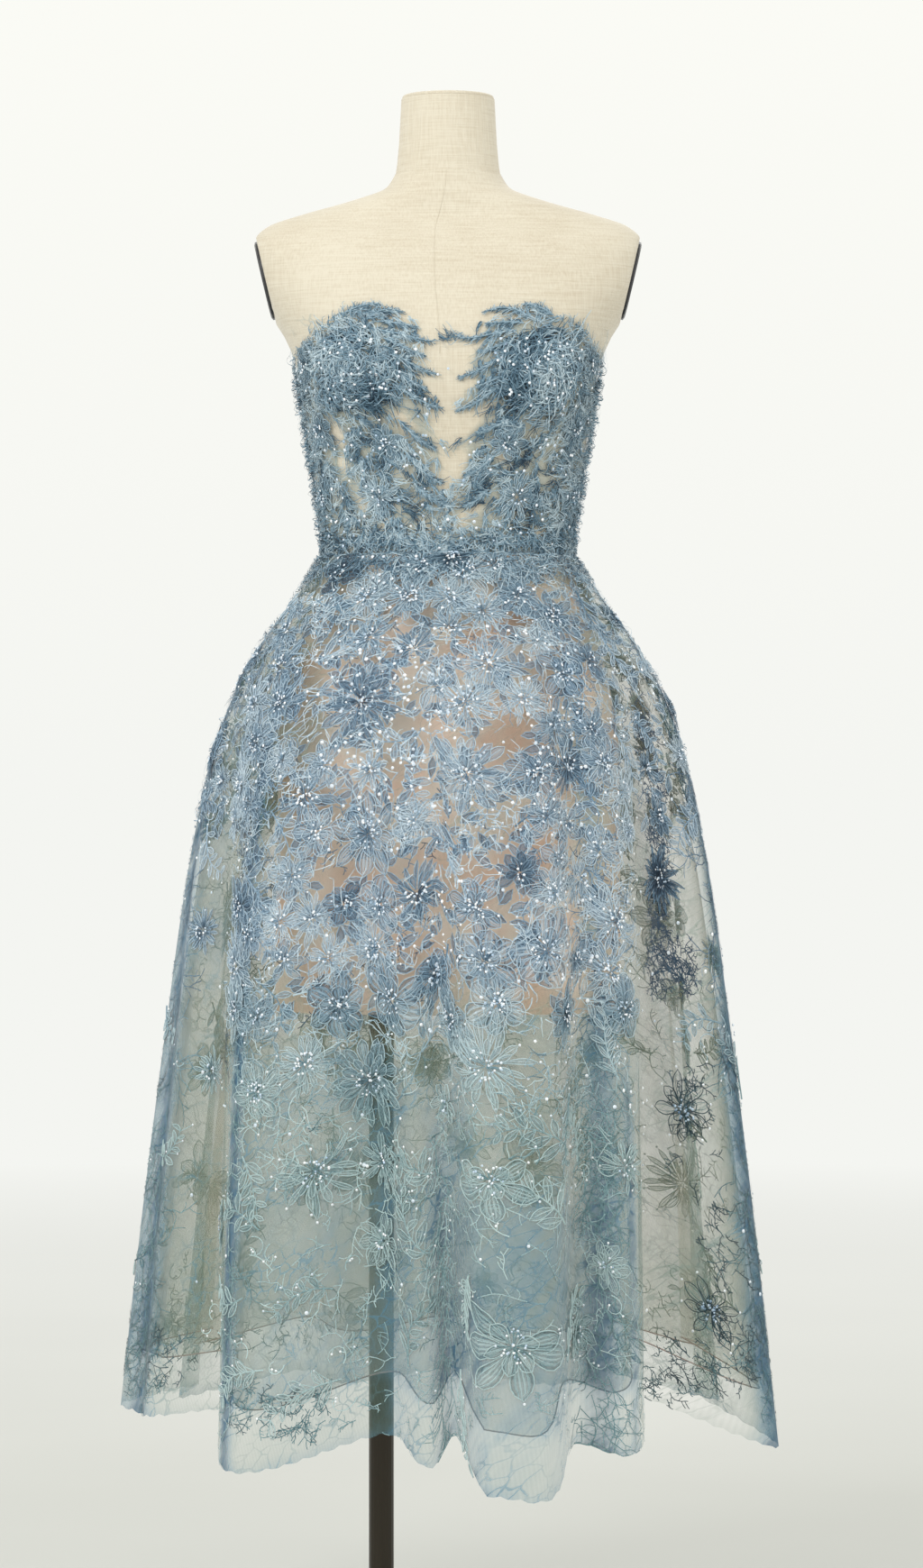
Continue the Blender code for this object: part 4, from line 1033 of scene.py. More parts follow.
CENTRE_BACK = 180
LINING_SIDE = 90  # the side seams of the underskirt and the slip
OVERLAP = 20  # degrees past the centre back, for motifs that cross its seam
around = np.arange(-CENTRE_BACK - OVERLAP, CENTRE_BACK + OVERLAP + 0.5, 1.0)
lace_cloth = Cloth(lace_skirt_point, around, np.linspace(0, 1, 141))
from_side = np.arange(-LINING_SIDE, 360 - LINING_SIDE + 0.5, 1.5)
under_cloth = Cloth(underskirt_point, from_side, np.linspace(0, 1, 111))
slip_cloth = Cloth(slip_point, from_side, np.linspace(0, 1, 61))
BODICE_OVER, BODICE_UNDER = 0.16, 0.04  # shares past the bodice's edges, for threads that cross them
BODICE_OVERLAP = 18  # the same for the bodice
bodice_around = np.arange(-CENTRE_BACK - BODICE_OVERLAP, CENTRE_BACK + BODICE_OVERLAP + 0.1, 0.75)
bodice_shares = np.concatenate(
    [np.linspace(-BODICE_OVER, 0, 10)[:-1], np.linspace(0, 1, 61), [1 + BODICE_UNDER]]
)
bodice_cloth = Cloth(bodice_point, bodice_around, bodice_shares)


def flank(cloth):
    """From 0 where the cloth faces straight out to 1 on a fold's side, which is seen edge-on."""
    outward, facing = cloth.points * (1, 1, 0), cloth.normals * (1, 1, 0)
    size = np.linalg.norm(outward, axis=-1) * np.linalg.norm(facing, axis=-1)
    return 1 - np.abs(np.sum(outward * facing, axis=-1) / size)


HEM_LINE = 0.004  # the turned edge, from the hem up
SCALLOP, SCALLOP_DEPTH = 0.021, 0.0030  # length along the hem, and depth
hem_along = lace_cloth.along[-1]
scallops = np.abs(np.sin(np.pi * hem_along / SCALLOP + np.sin(hem_along * 23)))
lace_cloth.points[-1, :, 2] += SCALLOP_DEPTH * (1 - scallops) - 0.001
# Where the net is gathered closer, or more open: angle, half width in degrees, drop from and to, and
# how much
VEILS = (
    (85, 4.4, 0.06, 0.92, 0.76),
    (79, 2.4, 0.45, 0.93, 0.34),
    (-86, 4.4, 0.06, 0.93, 0.66),
    (-94, 3.0, 0.06, 0.90, 0.30),
    (-46, 2.4, 0.10, 0.92, 0.60),
    (31, 4.0, 0.10, 0.92, 0.38),
    (38, 1.8, 0.50, 0.92, 0.36),
    (66, 12, 0.10, 0.95, -0.22),
    (-66, 11, 0.50, 0.95, -0.07),
    (-68, 12, 0.08, 0.42, 0.10),
    (-20, 30, 0.50, 0.92, 0.12),
    (13, 16, 0.62, 0.92, 0.18),
    (0.5, 1.6, 0.55, 0.92, 0.24),
    (-12, 2.2, 0.55, 0.90, 0.14),
    (124, 6, 0.10, 0.90, 0.20),
    (161, 6, 0.10, 0.90, 0.20),
    (-124, 6, 0.10, 0.90, 0.20),
    (-162, 6, 0.10, 0.90, 0.20),
    (0, 44, -0.20, 0.45, -0.30),
)
SOFTEN = 0.05  # over which a veil starts and ends down the cloth
BROAD_DEG = 20  # a veil with a half width over this has a flat middle
FLANK_COVER = 0.22  # how much closer the cloth looks on its folds' sides


def veil(cloth):
    """How much closer the cloth is than elsewhere, from its folds' sides and the table."""
    cover = FLANK_COVER * flank(cloth)
    drop = cloth.down
    for angle, half_deg, top, bottom, amount in VEILS:
        away = (cloth.angles[None, :] - angle + 180) % 360 - 180
        over = np.clip((drop - top) / SOFTEN, 0, 1) * np.clip((bottom - drop) / SOFTEN + 1, 0, 1)
        power = 4 if half_deg > BROAD_DEG else 2
        cover = cover + amount * over * np.exp(-((away / half_deg) ** power))
    return cover


HEM_COVER = 0.15  # how much closer the turned edge is
BORDER_OPEN = 0.12  # how much more open the net is below the organza's hem
lace_veil = veil(lace_cloth) + HEM_COVER * (lace_cloth.down > lace_cloth.down[-1] - HEM_LINE)
lace_veil = lace_veil - BORDER_OPEN * (lace_cloth.down > lace_cloth.down[-1] - UNDERSKIRT_SHORT)
ORGANZA_SHARE = 0.4  # how strongly the veils show in the organza
# Where the organza is more open: the middle and half width of a stretch, down to which drop, how much
ORGANZA_OPEN = ((0, 60, 0.45, 0.12), (90, 34, 1.0, 0.09), (256, 20, 1.0, 0.03))
organza_veil = ORGANZA_SHARE * veil(under_cloth)
for middle, half_deg, bottom, amount in ORGANZA_OPEN:
    inside = (np.abs(under_cloth.angles - middle) < half_deg) & (under_cloth.down < bottom)
    organza_veil = organza_veil - amount * inside
no_veil = np.zeros(slip_cloth.points.shape[:2])
# Bare places in the bodice's threads: angle, drop from the top edge, half width in degrees, half drop
BODICE_GAPS = (
    (0, -0.012, 14.0, 0.012),
    (0.5, 0.022, 9.0, 0.011),
    (0.5, 0.057, 8.5, 0.010),
    (3.0, 0.095, 10.0, 0.014),
    (2.2, 0.131, 4.5, 0.017),
    (-46, 0.124, 4.5, 0.012),
    (-15, 0.113, 4.5, 0.010),
    (-48, 0.154, 4.5, 0.008),
    (-38, 0.198, 4.5, 0.009),
    (8.5, 0.190, 5.5, 0.008),
    (32, 0.190, 3.5, 0.015),
    (-28, 0.223, 4.0, 0.007),
    (-80, 0.150, 4.0, 0.012),
    (22, 0.150, 4.0, 0.009),
    (-8, 0.205, 3.5, 0.006),
    (47, 0.222, 4.0, 0.006),
    (80, 0.110, 6.0, 0.010),
    (130, 0.060, 7.0, 0.010),
    (-135, 0.080, 7.0, 0.010),
    (160, 0.110, 6.0, 0.012),
    (-158, 0.050, 6.0, 0.010),
)
# Where the threads begin: angle to either side, and drop from the top edge
THREAD_TOPS = (
    (0, 0.0),
    (30, 0.0),
    (40, 0.008),
    (50, 0.017),
    (64, 0.027),
    (84, 0.024),
    (105, 0.010),
    (130, 0.002),
    (180, 0.002),
)


def bareness(angle, drop, gaps=BODICE_GAPS):
    """1 in the middle of a bare place, 0 well outside them all."""
    found = np.zeros(np.broadcast(angle, drop).shape)
    for gap_angle, gap_drop, half_deg, half_drop in gaps:
        away = ((angle - gap_angle) / half_deg) ** 2 + ((drop - gap_drop) / half_drop) ** 2
        found = np.maximum(found, np.exp(-(away**2)))
    return found


NET_CLEAR, NET_HAZE = -0.32, 0.36  # the bodice's net where it is bare, and what its threads add
HAZE_BELOW, HAZE_FADE = 0.004, 0.014  # how far below the first threads the haze starts, and grows
# Degrees either side of the centre front that stay clear, and the degrees and the drop that end that
CENTRE_CLEAR, CENTRE_FADE, CENTRE_FADE_DROP = 4, 8, 0.2
BARE_GAIN = 1.3  # so that the middle of a bare place is wholly bare
bodice_away = np.abs(bodice_cloth.angles)
begin = np.interp(bodice_away, *zip(*THREAD_TOPS))[None, :]
below_top = np.clip((bodice_cloth.down - begin - HAZE_BELOW) / HAZE_FADE, 0, 1)
from_centre = (bodice_away - CENTRE_CLEAR) / CENTRE_FADE + bodice_cloth.down / CENTRE_FADE_DROP
below_top = below_top * np.clip(from_centre, 0, 1)
covered = 1 - BARE_GAIN * bareness(bodice_cloth.angles[None, :], bodice_cloth.down)
bodice_veil = NET_CLEAR + NET_HAZE * below_top * np.clip(covered, 0, 1)

# Each kind of cloth: its surface, its material and slot, how close it is woven, and how it is held
CLOTHS = {
    "lace": (lace_cloth, net, "blue_lace", lace_veil, "hung"),
    "organza": (under_cloth, organza, "nude_organza", organza_veil, "hung"),
    "slip": (slip_cloth, crepe, "nude_slip", no_veil, "hung"),
    "net": (bodice_cloth, bodice_net, "blue_lace", bodice_veil, "stretched"),
}
# Each sheet: its name, which starts with its kind of cloth, its node, and the angles of its two edges
SHELLS = (
    ("lace_front", "skirt_lace_front", *SIDE_SEAMS),
    ("lace_back_left", "skirt_lace_back_left", -CENTRE_BACK, SIDE_SEAMS[0]),
    ("lace_back_right", "skirt_lace_back_right", SIDE_SEAMS[1], CENTRE_BACK),
    ("organza_front", "underskirt_front", -LINING_SIDE, LINING_SIDE),
    ("organza_back", "underskirt_back", LINING_SIDE, 360 - LINING_SIDE),
    ("slip_cloth_front", "slip_front", -LINING_SIDE, LINING_SIDE),
    ("slip_cloth_back", "slip_back", LINING_SIDE, 360 - LINING_SIDE),
    ("net_front", "bodice_front", -PRINCESS_SEAM, PRINCESS_SEAM),
    ("net_side_left", "bodice_side_front_left", -BODICE_SIDE_SEAM, -PRINCESS_SEAM),
    ("net_side_right", "bodice_side_front_right", PRINCESS_SEAM, BODICE_SIDE_SEAM),
    ("net_back_left", "bodice_back_left", -CENTRE_BACK, -BODICE_SIDE_SEAM),
    ("net_back_right", "bodice_back_right", BODICE_SIDE_SEAM, CENTRE_BACK),
)


def cloth_of(name):
    """What the table of cloths says of a sheet."""
    return CLOTHS[name.split("_")[0]]


shells = {}
for name, node, first, last in SHELLS:
    cloth, material, slot, cover, _ = cloth_of(name)
    shells[name] = cloth_shell(name, cloth, first, last, material, slot, cover)
    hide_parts(node)

ROLL_RADIUS = 0.0007  # of the organza's rolled hem
rolled = rolled_material()
hems = {}
for name, _, first, last in SHELLS:
    if not name.startswith("organza_"):
        continue
    picked = (under_cloth.angles >= first) & (under_cloth.angles <= last)
    roll = Batch()
    roll.strips(tube_sections(under_cloth.points[-1, picked], ROLL_RADIUS, 6), 0.0, closed=True)
    hems[name] = roll.make(name.replace("_", "_hem_"), rolled, "nude_organza")

# ---------------------------------------------------------------- the skirt's lace
# The large flowers: angle, drop, radius, kind, tone, turn, and if they aren't whole and plain their
# spread and whether a bead ends each petal
SKIRT_FLOWERS = (
    (-18, 0.165, 0.044, "dahlia", 0.70, 0),
    (10, 0.130, 0.036, "daisy", 0.42, 20),
    (7, 0.245, 0.043, "dahlia", 0.42, 10),
    (-52, 0.210, 0.034, "cosmos", 0.55, 15),
    (-14, 0.295, 0.040, "cosmos", 0.48, 30),
    (14, 0.420, 0.046, "anemone", 0.36, 5),
    (-8, 0.455, 0.040, "anemone", 0.50, 25),
    (-15, 0.530, 0.044, "dahlia", 0.52, 12),
    (8, 0.528, 0.046, "daisy", 0.22, 35, 360, True),
    # Dark thread, and darker still as painted shade: this flower is drawn as dark as lace seen in shadow
    # against the backdrop.
    (64, 0.340, 0.034, "thistle", 1.10, 10),
    (8, 0.635, 0.044, "cosmos", 0.28, 180, 210, True),
    (-27, 0.620, 0.044, "daisy", 0.30, 180, 230, True),
    (10, 0.790, 0.052, "cosmos", 0.30, 190, 250, True),
    # Dark thread, and darker still as painted shade: these two are drawn as dark as lace seen in shadow
    # against the backdrop.
    (69, 0.570, 0.036, "sketch", 1.05, 22, 360, True),
    (72, 0.770, 0.034, "sketch", 1.05, 5, 300, True),
    (128, 0.160, 0.036, "daisy", 0.45, 0),
    (160, 0.160, 0.036, "dahlia", 0.62, 12),
    (122, 0.400, 0.042, "cosmos", 0.40, 20),
    (150, 0.400, 0.042, "anemone", 0.48, 4),
    (126, 0.680, 0.042, "daisy", 0.24, 9, 360, True),
    (162, 0.680, 0.042, "anemone", 0.26, 31, 300, True),
    (-128, 0.160, 0.036, "anemone", 0.50, 8),
    (-160, 0.160, 0.036, "cosmos", 0.42, 0),
    (-122, 0.400, 0.042, "dahlia", 0.60, 14),
    (-150, 0.400, 0.042, "daisy", 0.36, 2),
    (-126, 0.680, 0.042, "cosmos", 0.22, 180, 240, True),
    (-162, 0.680, 0.042, "daisy", 0.26, 17, 360, True),
)


def both_backs(first, last, *rest):
    """A row of a table for the back's right half, and the same for its left half."""
    return (first, last, *rest), (-last, -first, *rest)


# Smaller flowers and sprays scattered between the others: angles and drops of the stretch, spacing,
# radius, tone and kinds
SCATTERS = (
    (-62, 46, 0.010, 0.300, 0.032, 0.028, 0.40, ("daisy", "cosmos", "anemone", "daisy", "spray", "spray")),
    (-104, -62, 0.012, 0.300, 0.046, 0.022, 0.52, ("daisy", "spray", "spray")),
    (46, 104, 0.012, 0.300, 0.046, 0.022, 0.52, ("daisy", "cosmos", "spray", "spray")),
    (-50, 38, 0.300, 0.480, 0.034, 0.029, 0.40, ("anemone", "cosmos", "daisy", "cosmos", "spray", "spray")),
    (-46, 36, 0.480, 0.640, 0.052, 0.028, 0.34, ("daisy", "cosmos", "spray", "spray")),
    (-42, 34, 0.640, 0.820, 0.066, 0.029, 0.24, ("spray", "spray", "cosmos")),
    (-100, -52, 0.300, 0.800, 0.100, 0.022, 0.45, ("spray", "spray", "daisy")),
    (76, 104, 0.300, 0.800, 0.085, 0.022, 0.50, ("spray", "spray", "daisy")),
    *both_backs(104, 180, 0.012, 0.300, 0.046, 0.025, 0.45, ("daisy", "cosmos", "anemone", "spray", "spray")),
    *both_backs(104, 178, 0.300, 0.560, 0.056, 0.026, 0.40, ("anemone", "cosmos", "spray", "spray")),
    *both_backs(104, 178, 0.560, 0.820, 0.080, 0.028, 0.20, ("spray", "spray", "cosmos")),
)


def panel_of(angle):
    if angle < SIDE_SEAMS[0]:
        return "back_left"
    return "back_right" if angle > SIDE_SEAMS[1] else "front"


LOWER_DROP = 0.30  # the front's lace below this is a batch of its own
laces = {key: Lace(lace_cloth) for key in ("front", "front_low", "back_left", "back_right")}


def lace_at(angle, drop):
    key = panel_of(angle)
    lace = laces["front_low" if key == "front" and drop > LOWER_DROP else key]
    lace.move_to(angle, drop)
    return lace


def lengths_at(drop):
    """The length along the cloth from its first column to each one, at a drop in the front."""
    rows = lace_cloth.down[:, lace_cloth.points.shape[1] // 2]
    return lace_cloth.along[int(np.argmin(np.abs(rows - drop)))]


def random_place(first, last, top, bottom):
    """An angle and a drop, spread evenly over the cloth between two angles and two drops."""
    drop = float(random.uniform(top, bottom))
    lengths = lengths_at(drop)
    low, high = np.interp((first, last), lace_cloth.angles, lengths)
    return float(np.interp(random.uniform(low, high), lengths, lace_cloth.angles)), drop


KEEP_CLEAR = 0.35  # of the spacing, round a motif's radius
MOTIF_LIMIT, FILL_LIMIT = 0.0005, 0.25  # how far motifs and fillings may reach into a clearing
taken = []  # angle, drop and radius of each motif that others keep clear of
for angle, drop, radius, kind, tone, turn, *opening in SKIRT_FLOWERS:
    flower(lace_at(angle, drop), kind, radius, tone, turn, *opening)
    taken.append((angle, drop, radius))


def is_free(angle, drop, spacing):
    """Whether a place keeps its distance from every motif so far."""
    angles, drops, radii = np.array(taken).T
    lengths = lengths_at(drop)
    away = np.interp(angles, lace_cloth.angles, lengths) - np.interp(angle, lace_cloth.angles, lengths)
    return np.all(np.hypot(away, drop - drops) >= np.maximum(spacing, radii + spacing * KEEP_CLEAR))


# Clearings where the slip shows, as the bodice's bare places but by the angle at the hem
CLEARINGS = (
    (12, 0.200, 4.4, 0.015),
    (4, 0.187, 3.0, 0.009),
    (-34, 0.190, 3.4, 0.012),
    (-14.5, 0.295, 3.0, 0.012),
    (3.5, 0.292, 3.0, 0.009),
    (5, 0.355, 3.4, 0.013),
    (-25, 0.350, 3.4, 0.012),
    (20, 0.245, 3.0, 0.014),
    (23, 0.145, 3.6, 0.012),
    (-11, 0.088, 5.0, 0.013),
    (2, 0.034, 6.0, 0.010),
    (4, 0.455, 3.8, 0.014),
    (14, 0.462, 3.0, 0.012),
    (-15, 0.455, 3.4, 0.010),
    (-37, 0.312, 2.8, 0.012),
    (27, 0.312, 2.8, 0.014),
    (-3, 0.395, 2.4, 0.012),
    (20, 0.385, 2.4, 0.014),
    (-27, 0.430, 2.8, 0.010),
    (-22, 0.070, 4.0, 0.009),
)


def is_clearing(angle, drop, limit):
    return bool(bareness(angle, drop, CLEARINGS) > limit)


def clear_laces(count, *bounds):
    """The lace at random places between two angles and two drops, without those in a clearing."""
    for _ in range(count):
        angle, drop = random_place(*bounds)
        if not is_clearing(angle, drop, FILL_LIMIT):
            yield lace_at(angle, drop)


TRIES_FOR_A_MOTIF = 30
for first, last, top, bottom, spacing, radius, tone, kinds in SCATTERS:
    span = np.interp((first, last), lace_cloth.angles, lengths_at((top + bottom) / 2))
    wanted = int((span[1] - span[0]) * (bottom - top) / spacing**2 * TRIES_FOR_A_MOTIF)
    for _ in range(wanted):
        angle, drop = random_place(first, last, top, bottom)
        if not is_free(angle, drop, spacing) or is_clearing(angle, drop, MOTIF_LIMIT):
            continue
        taken.append((angle, drop, spacing * 0.5))
        size = radius * random.uniform(0.8, 1.25)
        shade = tone + random.normal(0, 0.17)
        turn = random.uniform(-180, 180)
        lace = lace_at(angle, drop)
        kind = kinds[random.integers(len(kinds))]
        if kind == "spray":
            bend = random.choice((-1, 1)) * random.uniform(0.1, 0.35)
            spray(lace, size * 2.4, turn, bend, 9, shade)
        else:
            flower(lace, kind, size, shade, turn, random.choice((360, 360, 260)))
        for _ in range(2):
            lace.move_to(angle + random.normal(0, 4), drop + random.normal(0, 0.012))
            tendril(lace, size * random.uniform(0.9, 1.6), random.uniform(-180, 180), shade - 0.25)

# Small leaves close together, low under the motifs: angles and drops of the stretch, count, length, tone
GROUNDS = (
    (-62, 46, 0.010, 0.300, 620, 0.017, 0.72),
    (-50, 38, 0.300, 0.480, 300, 0.018, 0.70),
    (46, 104, 0.010, 0.300, 130, 0.017, 0.60),
    (-104, -62, 0.010, 0.300, 130, 0.017, 0.60),
    *both_backs(104, 180, 0.010, 0.300, 240, 0.017, 0.52),
)
GROUND_STEPS = 3
for *bounds, count, length, tone in GROUNDS:
    for lace in clear_laces(count // 2, *bounds):
        turn = random.uniform(-180, 180)
        sizes = length * random.uniform(0.7, 1.3, 2)
        spots = random.normal(0, 0.002, (2, 2))
        turns = turn + np.array([-24, 24])
        leaves = petal_grids(spots, turns, sizes, sizes * 0.42, 1.2, 0.2, GROUND_STEPS)
        lace.petal_set(leaves, 0.0008, tone + random.normal(0, 0.10, 2), 0.00042, 0, ridge=False)

# Fine curling threads between the motifs: angles and drops of the stretch, count, tone
CURLINGS = (
    (-62, 46, 0.010, 0.480, 620, 0.05),
    (-46, 36, 0.480, 0.640, 150, 0.25),
    (46, 104, 0.010, 0.240, 110, 0.20),
    (-104, -62, 0.010, 0.300, 130, 0.30),
    *both_backs(104, 180, 0.010, 0.400, 200, 0.20),
)
for *bounds, count, tone in CURLINGS:
    for lace in clear_laces(count, *bounds):
        turns = random.uniform(-180, 180) + random.normal(0, 30, 3)
        tones = tone + random.normal(0, 0.22, 3)
        bases = random.normal(0, 0.002, (3, 2))
        reach = random.uniform(0.010, 0.022, 3)
        strands(lace, bases, turns, reach, tones, 0.004, 0.0005, 0.6)

# Wandering threads, a web over the whole skirt, thick at the hem border and along the folds: angles
# and drops of the stretch, count, length, tone
WEBS = (
    (-180, 180, 0.02, 0.30, 380, 0.022, 0.75),
    (-50, 40, 0.30, 0.47, 130, 0.022, 0.80),
    (-42, 36, 0.47, 0.80, 150, 0.040, 0.12),
    *both_backs(104, 180, 0.30, 0.80, 100, 0.040, 0.30),
    (-98, -76, 0.800, 0.855, 60, 0.024, 0.75),
    (-44, -26, 0.830, 0.870, 50, 0.022, 0.70),
    (60, 84, 0.800, 0.850, 60, 0.022, 0.90),
    (-22, 48, 0.835, 0.870, 40, 0.024, 0.35),
    *both_backs(96, 180, 0.815, 0.850, 80, 0.026, 0.80),
    # Dark thread, and darker still as painted shade: the webs from 60 to 104 degrees are drawn as dark as
    # lace seen in shadow against the backdrop.
    (61, 67, 0.18, 0.42, 170, 0.018, 1.15),
    (60, 72, 0.41, 0.45, 70, 0.020, 1.15),
    (67, 73, 0.53, 0.62, 26, 0.020, 1.05),
    (71, 76, 0.66, 0.80, 24, 0.020, 1.05),
    (94, 104, 0.40, 0.80, 14, 0.030, 1.00),
    (-52, -46, 0.28, 0.38, 30, 0.022, 0.95),
    (-60, -54, 0.48, 0.52, 20, 0.020, 1.00),
    (-88, -76, 0.10, 0.30, 50, 0.022, 0.85),
    (-132, -122, 0.24, 0.50, 30, 0.034, 0.90),
)
FOLD_WEBS = (  # down the folds' sides
    (-48, -44, 0.10, 0.87, 110, 0.050, 0.45),
    (-1, 2, 0.56, 0.87, 40, 0.060, 0.25),
    (27, 36, 0.10, 0.87, 140, 0.060, 0.50),
    (77, 86, 0.08, 0.87, 130, 0.050, 0.75),
    (-90, -83, 0.08, 0.87, 130, 0.050, 0.65),
)
for rows, down_only in ((WEBS, False), (FOLD_WEBS, True)):
    for *bounds, count, length, tone in rows:
        for lace in clear_laces(count, *bounds):
            turn = random.normal(180, 14) if down_only else random.uniform(-180, 180)
            twig(lace, length * random.uniform(0.6, 1.3), turn, tone + random.normal(0, 0.12))

# Sequins: angle and drop of the middle of each drift, how far it spreads, and how many
DRIFTS = (
    (-4, 0.10, 22, 0.06, 80),
    (-12, 0.19, 12, 0.05, 110),
    (12, 0.26, 14, 0.08, 90),
    (6, 0.43, 16, 0.06, 70),
    (30, 0.30, 14, 0.10, 60),
    (0, 0.55, 26, 0.10, 40),
    (70, 0.35, 14, 0.20, 30),
    (-60, 0.30, 20, 0.18, 30),
    (130, 0.20, 26, 0.12, 90),
    (-130, 0.20, 26, 0.12, 90),
    (180, 0.20, 16, 0.12, 50),
)
AT_CENTRE = np.zeros((1, 2))
for angle, drop, spread_deg, spread_drop, count in DRIFTS:
    for _ in range(count):
        round_to = (random.normal(angle, spread_deg) + 180) % 360 - 180
        down_to = float(np.clip(random.normal(drop, spread_drop), 0.004, 0.8))
        radius, tone = random.uniform(0.0013, 0.0021), random.uniform(-0.1, 0.35)
        lace_at(round_to, down_to).bead(AT_CENTRE, 0.0035, radius, tone)

# ---------------------------------------------------------------- the bodice's lace
bodice_laces = {name: Lace(bodice_cloth) for name, *_ in SHELLS if name.startswith("net_")}


def bodice_lace_at(angle, drop):
    for name, _, first, last in SHELLS:
        if name.startswith("net_") and first <= angle <= last:
            bodice_laces[name].move_to(angle, drop)
            return bodice_laces[name]
    raise ValueError(f"no bodice panel at {angle}")


def bodice_height(angle):
    """The height of the bodice's top edge over the waist."""
    return float(top_edge_z(angle)) - WAIST_Z


# Flowers on both halves of the bodice: angle, height over the waist, radius, kind, tone, turn
BODICE_FLOWERS = (
    (34, 0.168, 0.030, "dahlia", 0.50, 0),
    (58, 0.120, 0.024, "cosmos", 0.52, 30),
    (62, 0.185, 0.024, "daisy", 0.55, 10),
    (22, 0.100, 0.022, "cosmos", 0.50, 20),
    (30, 0.045, 0.024, "daisy", 0.45, 0),
    (70, 0.055, 0.024, "cosmos", 0.48, 25),
    (118, 0.120, 0.028, "dahlia", 0.50, 0),
    (148, 0.075, 0.028, "daisy", 0.50, 15),
    (112, 0.045, 0.024, "cosmos", 0.45, 20),
)
for side in (-1, 1):
    for angle, over_waist, radius, kind, tone, turn in BODICE_FLOWERS:
        drop = bodice_height(angle) - over_waist
        flower(bodice_lace_at(side * angle, drop), kind, radius, tone, side * turn)

# Places where the bodice's threads are deeper (positive) or paler: angle, drop, half width in degrees,
# half drop, how much
BODICE_SHADES = (
    (-27, 0.085, 5.0, 0.018, 0.50),
    (-28, 0.150, 5.0, 0.045, 0.38),
    (25, 0.080, 5.0, 0.032, 0.50),
    (33, 0.155, 5.0, 0.022, 0.34),
    (37, 0.205, 7.0, 0.030, 0.24),
    (-72, 0.225, 9.0, 0.022, 0.30),
    (-17, 0.245, 7.0, 0.016, 0.30),
    (-14, 0.185, 7.0, 0.014, 0.28),
    (14, 0.170, 6.0, 0.012, 0.24),
    (33, 0.085, 5.0, 0.034, -0.34),
    (-36, 0.045, 9.0, 0.022, -0.20),
    (0, 0.215, 14.0, 0.012, -0.20),
    (-58, 0.130, 8.0, 0.050, -0.10),
    (60, 0.120, 9.0, 0.050, -0.16),
    (140, 0.100, 20.0, 0.040, 0.16),
    (-140, 0.060, 20.0, 0.030, 0.16),
)


def thread_top(angle):
    return float(np.interp(abs(angle), *zip(*THREAD_TOPS)))


def random_drop(angle, above=0.0, below=0.0):
    """A drop between the first threads and the waist, less a strip above and below."""
    return float(random.uniform(thread_top(angle) + above, bodice_height(angle) - below))


def shading(angle, drop):
    """How much deeper the threads are at a place, from the table and a slow change."""
    found = 0.16 * math.sin(angle * 0.21 + drop * 60) + 0.12 * math.sin(drop * 120 - angle * 0.11)
    for shade_angle, shade_drop, half_deg, half_drop, amount in BODICE_SHADES:
        away = ((angle - shade_angle) / half_deg) ** 2 + ((drop - shade_drop) / half_drop) ** 2
        found += amount * math.exp(-away)
    return found


def patch(angle, drop):
    """A slow change from -1 to 1 over the bodice, for thick and thin."""
    return (
        math.sin(angle * 0.13 + 1.7 + drop * 25)
        + math.sin(drop * 88 - angle * 0.06)
        + math.sin(angle * 0.27 - drop * 55 + 0.6)
    ) / 3


CUP_ANGLE, CUP_DROP = 31, 0.064
CUP_REACH = 0.044
DEGREE = 0.0024  # metres on the bodice


def cup(angle, drop):
    """1 at the middle of a cup's rosette, 0 past its rim, and the direction round it in degrees."""
    across, down = (abs(angle) - CUP_ANGLE) * DEGREE, drop - CUP_DROP
    far = math.hypot(across, down)
    return max(0.0, 1 - far / CUP_REACH), math.degrees(math.atan2(-across, down)) + 90


def ends_bare(angle, drop, turn, reach):
    """How bare it is where a thread from a place ends."""
    across, up = turned(turn) * (1, -1) * reach
    return bareness(angle + across / DEGREE, drop - up)


BACK_KEPT, BACK_FROM = 0.6, 100  # share of the wisps kept behind, and the angle it starts at
DOWN_AND_IN = -145  # the direction in which most wisps lie
# Layers of wisps: how many, threads in each, shortest and longest reach, tone, lift, half width, and
# how far they thin out
LAYERS = (
    (2200, 7, 0.009, 0.020, 0.62, 0.0012, 0.00046, 0.55),
    (2600, 7, 0.008, 0.018, 0.15, 0.0036, 0.00042, 0.70),
)
for wisps, threads, reach_low, reach_high, tone, lift, half_width, thin_out in LAYERS:
    for _ in range(wisps):
        angle = float(random.uniform(-180, 180))
        drop = random_drop(angle)
        place_patch = patch(angle, drop)
        rosette, swirl = cup(angle, drop)
        side = 1 if angle > 0 else -1
        if rosette > 0:
            turn = side * -swirl
        else:
            turn = side * DOWN_AND_IN + 50 * place_patch + random.normal(0, 36)
        reach = float(random.uniform(reach_low, reach_high))
        bare = max(float(bareness(angle, drop)), 0.8 * float(ends_bare(angle, drop, turn, reach)))
        keep = (1 - thin_out * (0.5 - 0.5 * place_patch) * (1 - rosette)) * (1 - 1.3 * bare)
        keep *= BACK_KEPT if abs(angle) > BACK_FROM else 1
        if random.uniform() > keep:
            continue
        shade = tone + shading(angle, drop) + 0.15 * rosette + random.normal(0, 0.14)
        bow = random.normal(0, 0.5)
        wisp(bodice_lace_at(angle, drop), turn, reach, threads, shade, lift, half_width, bow)

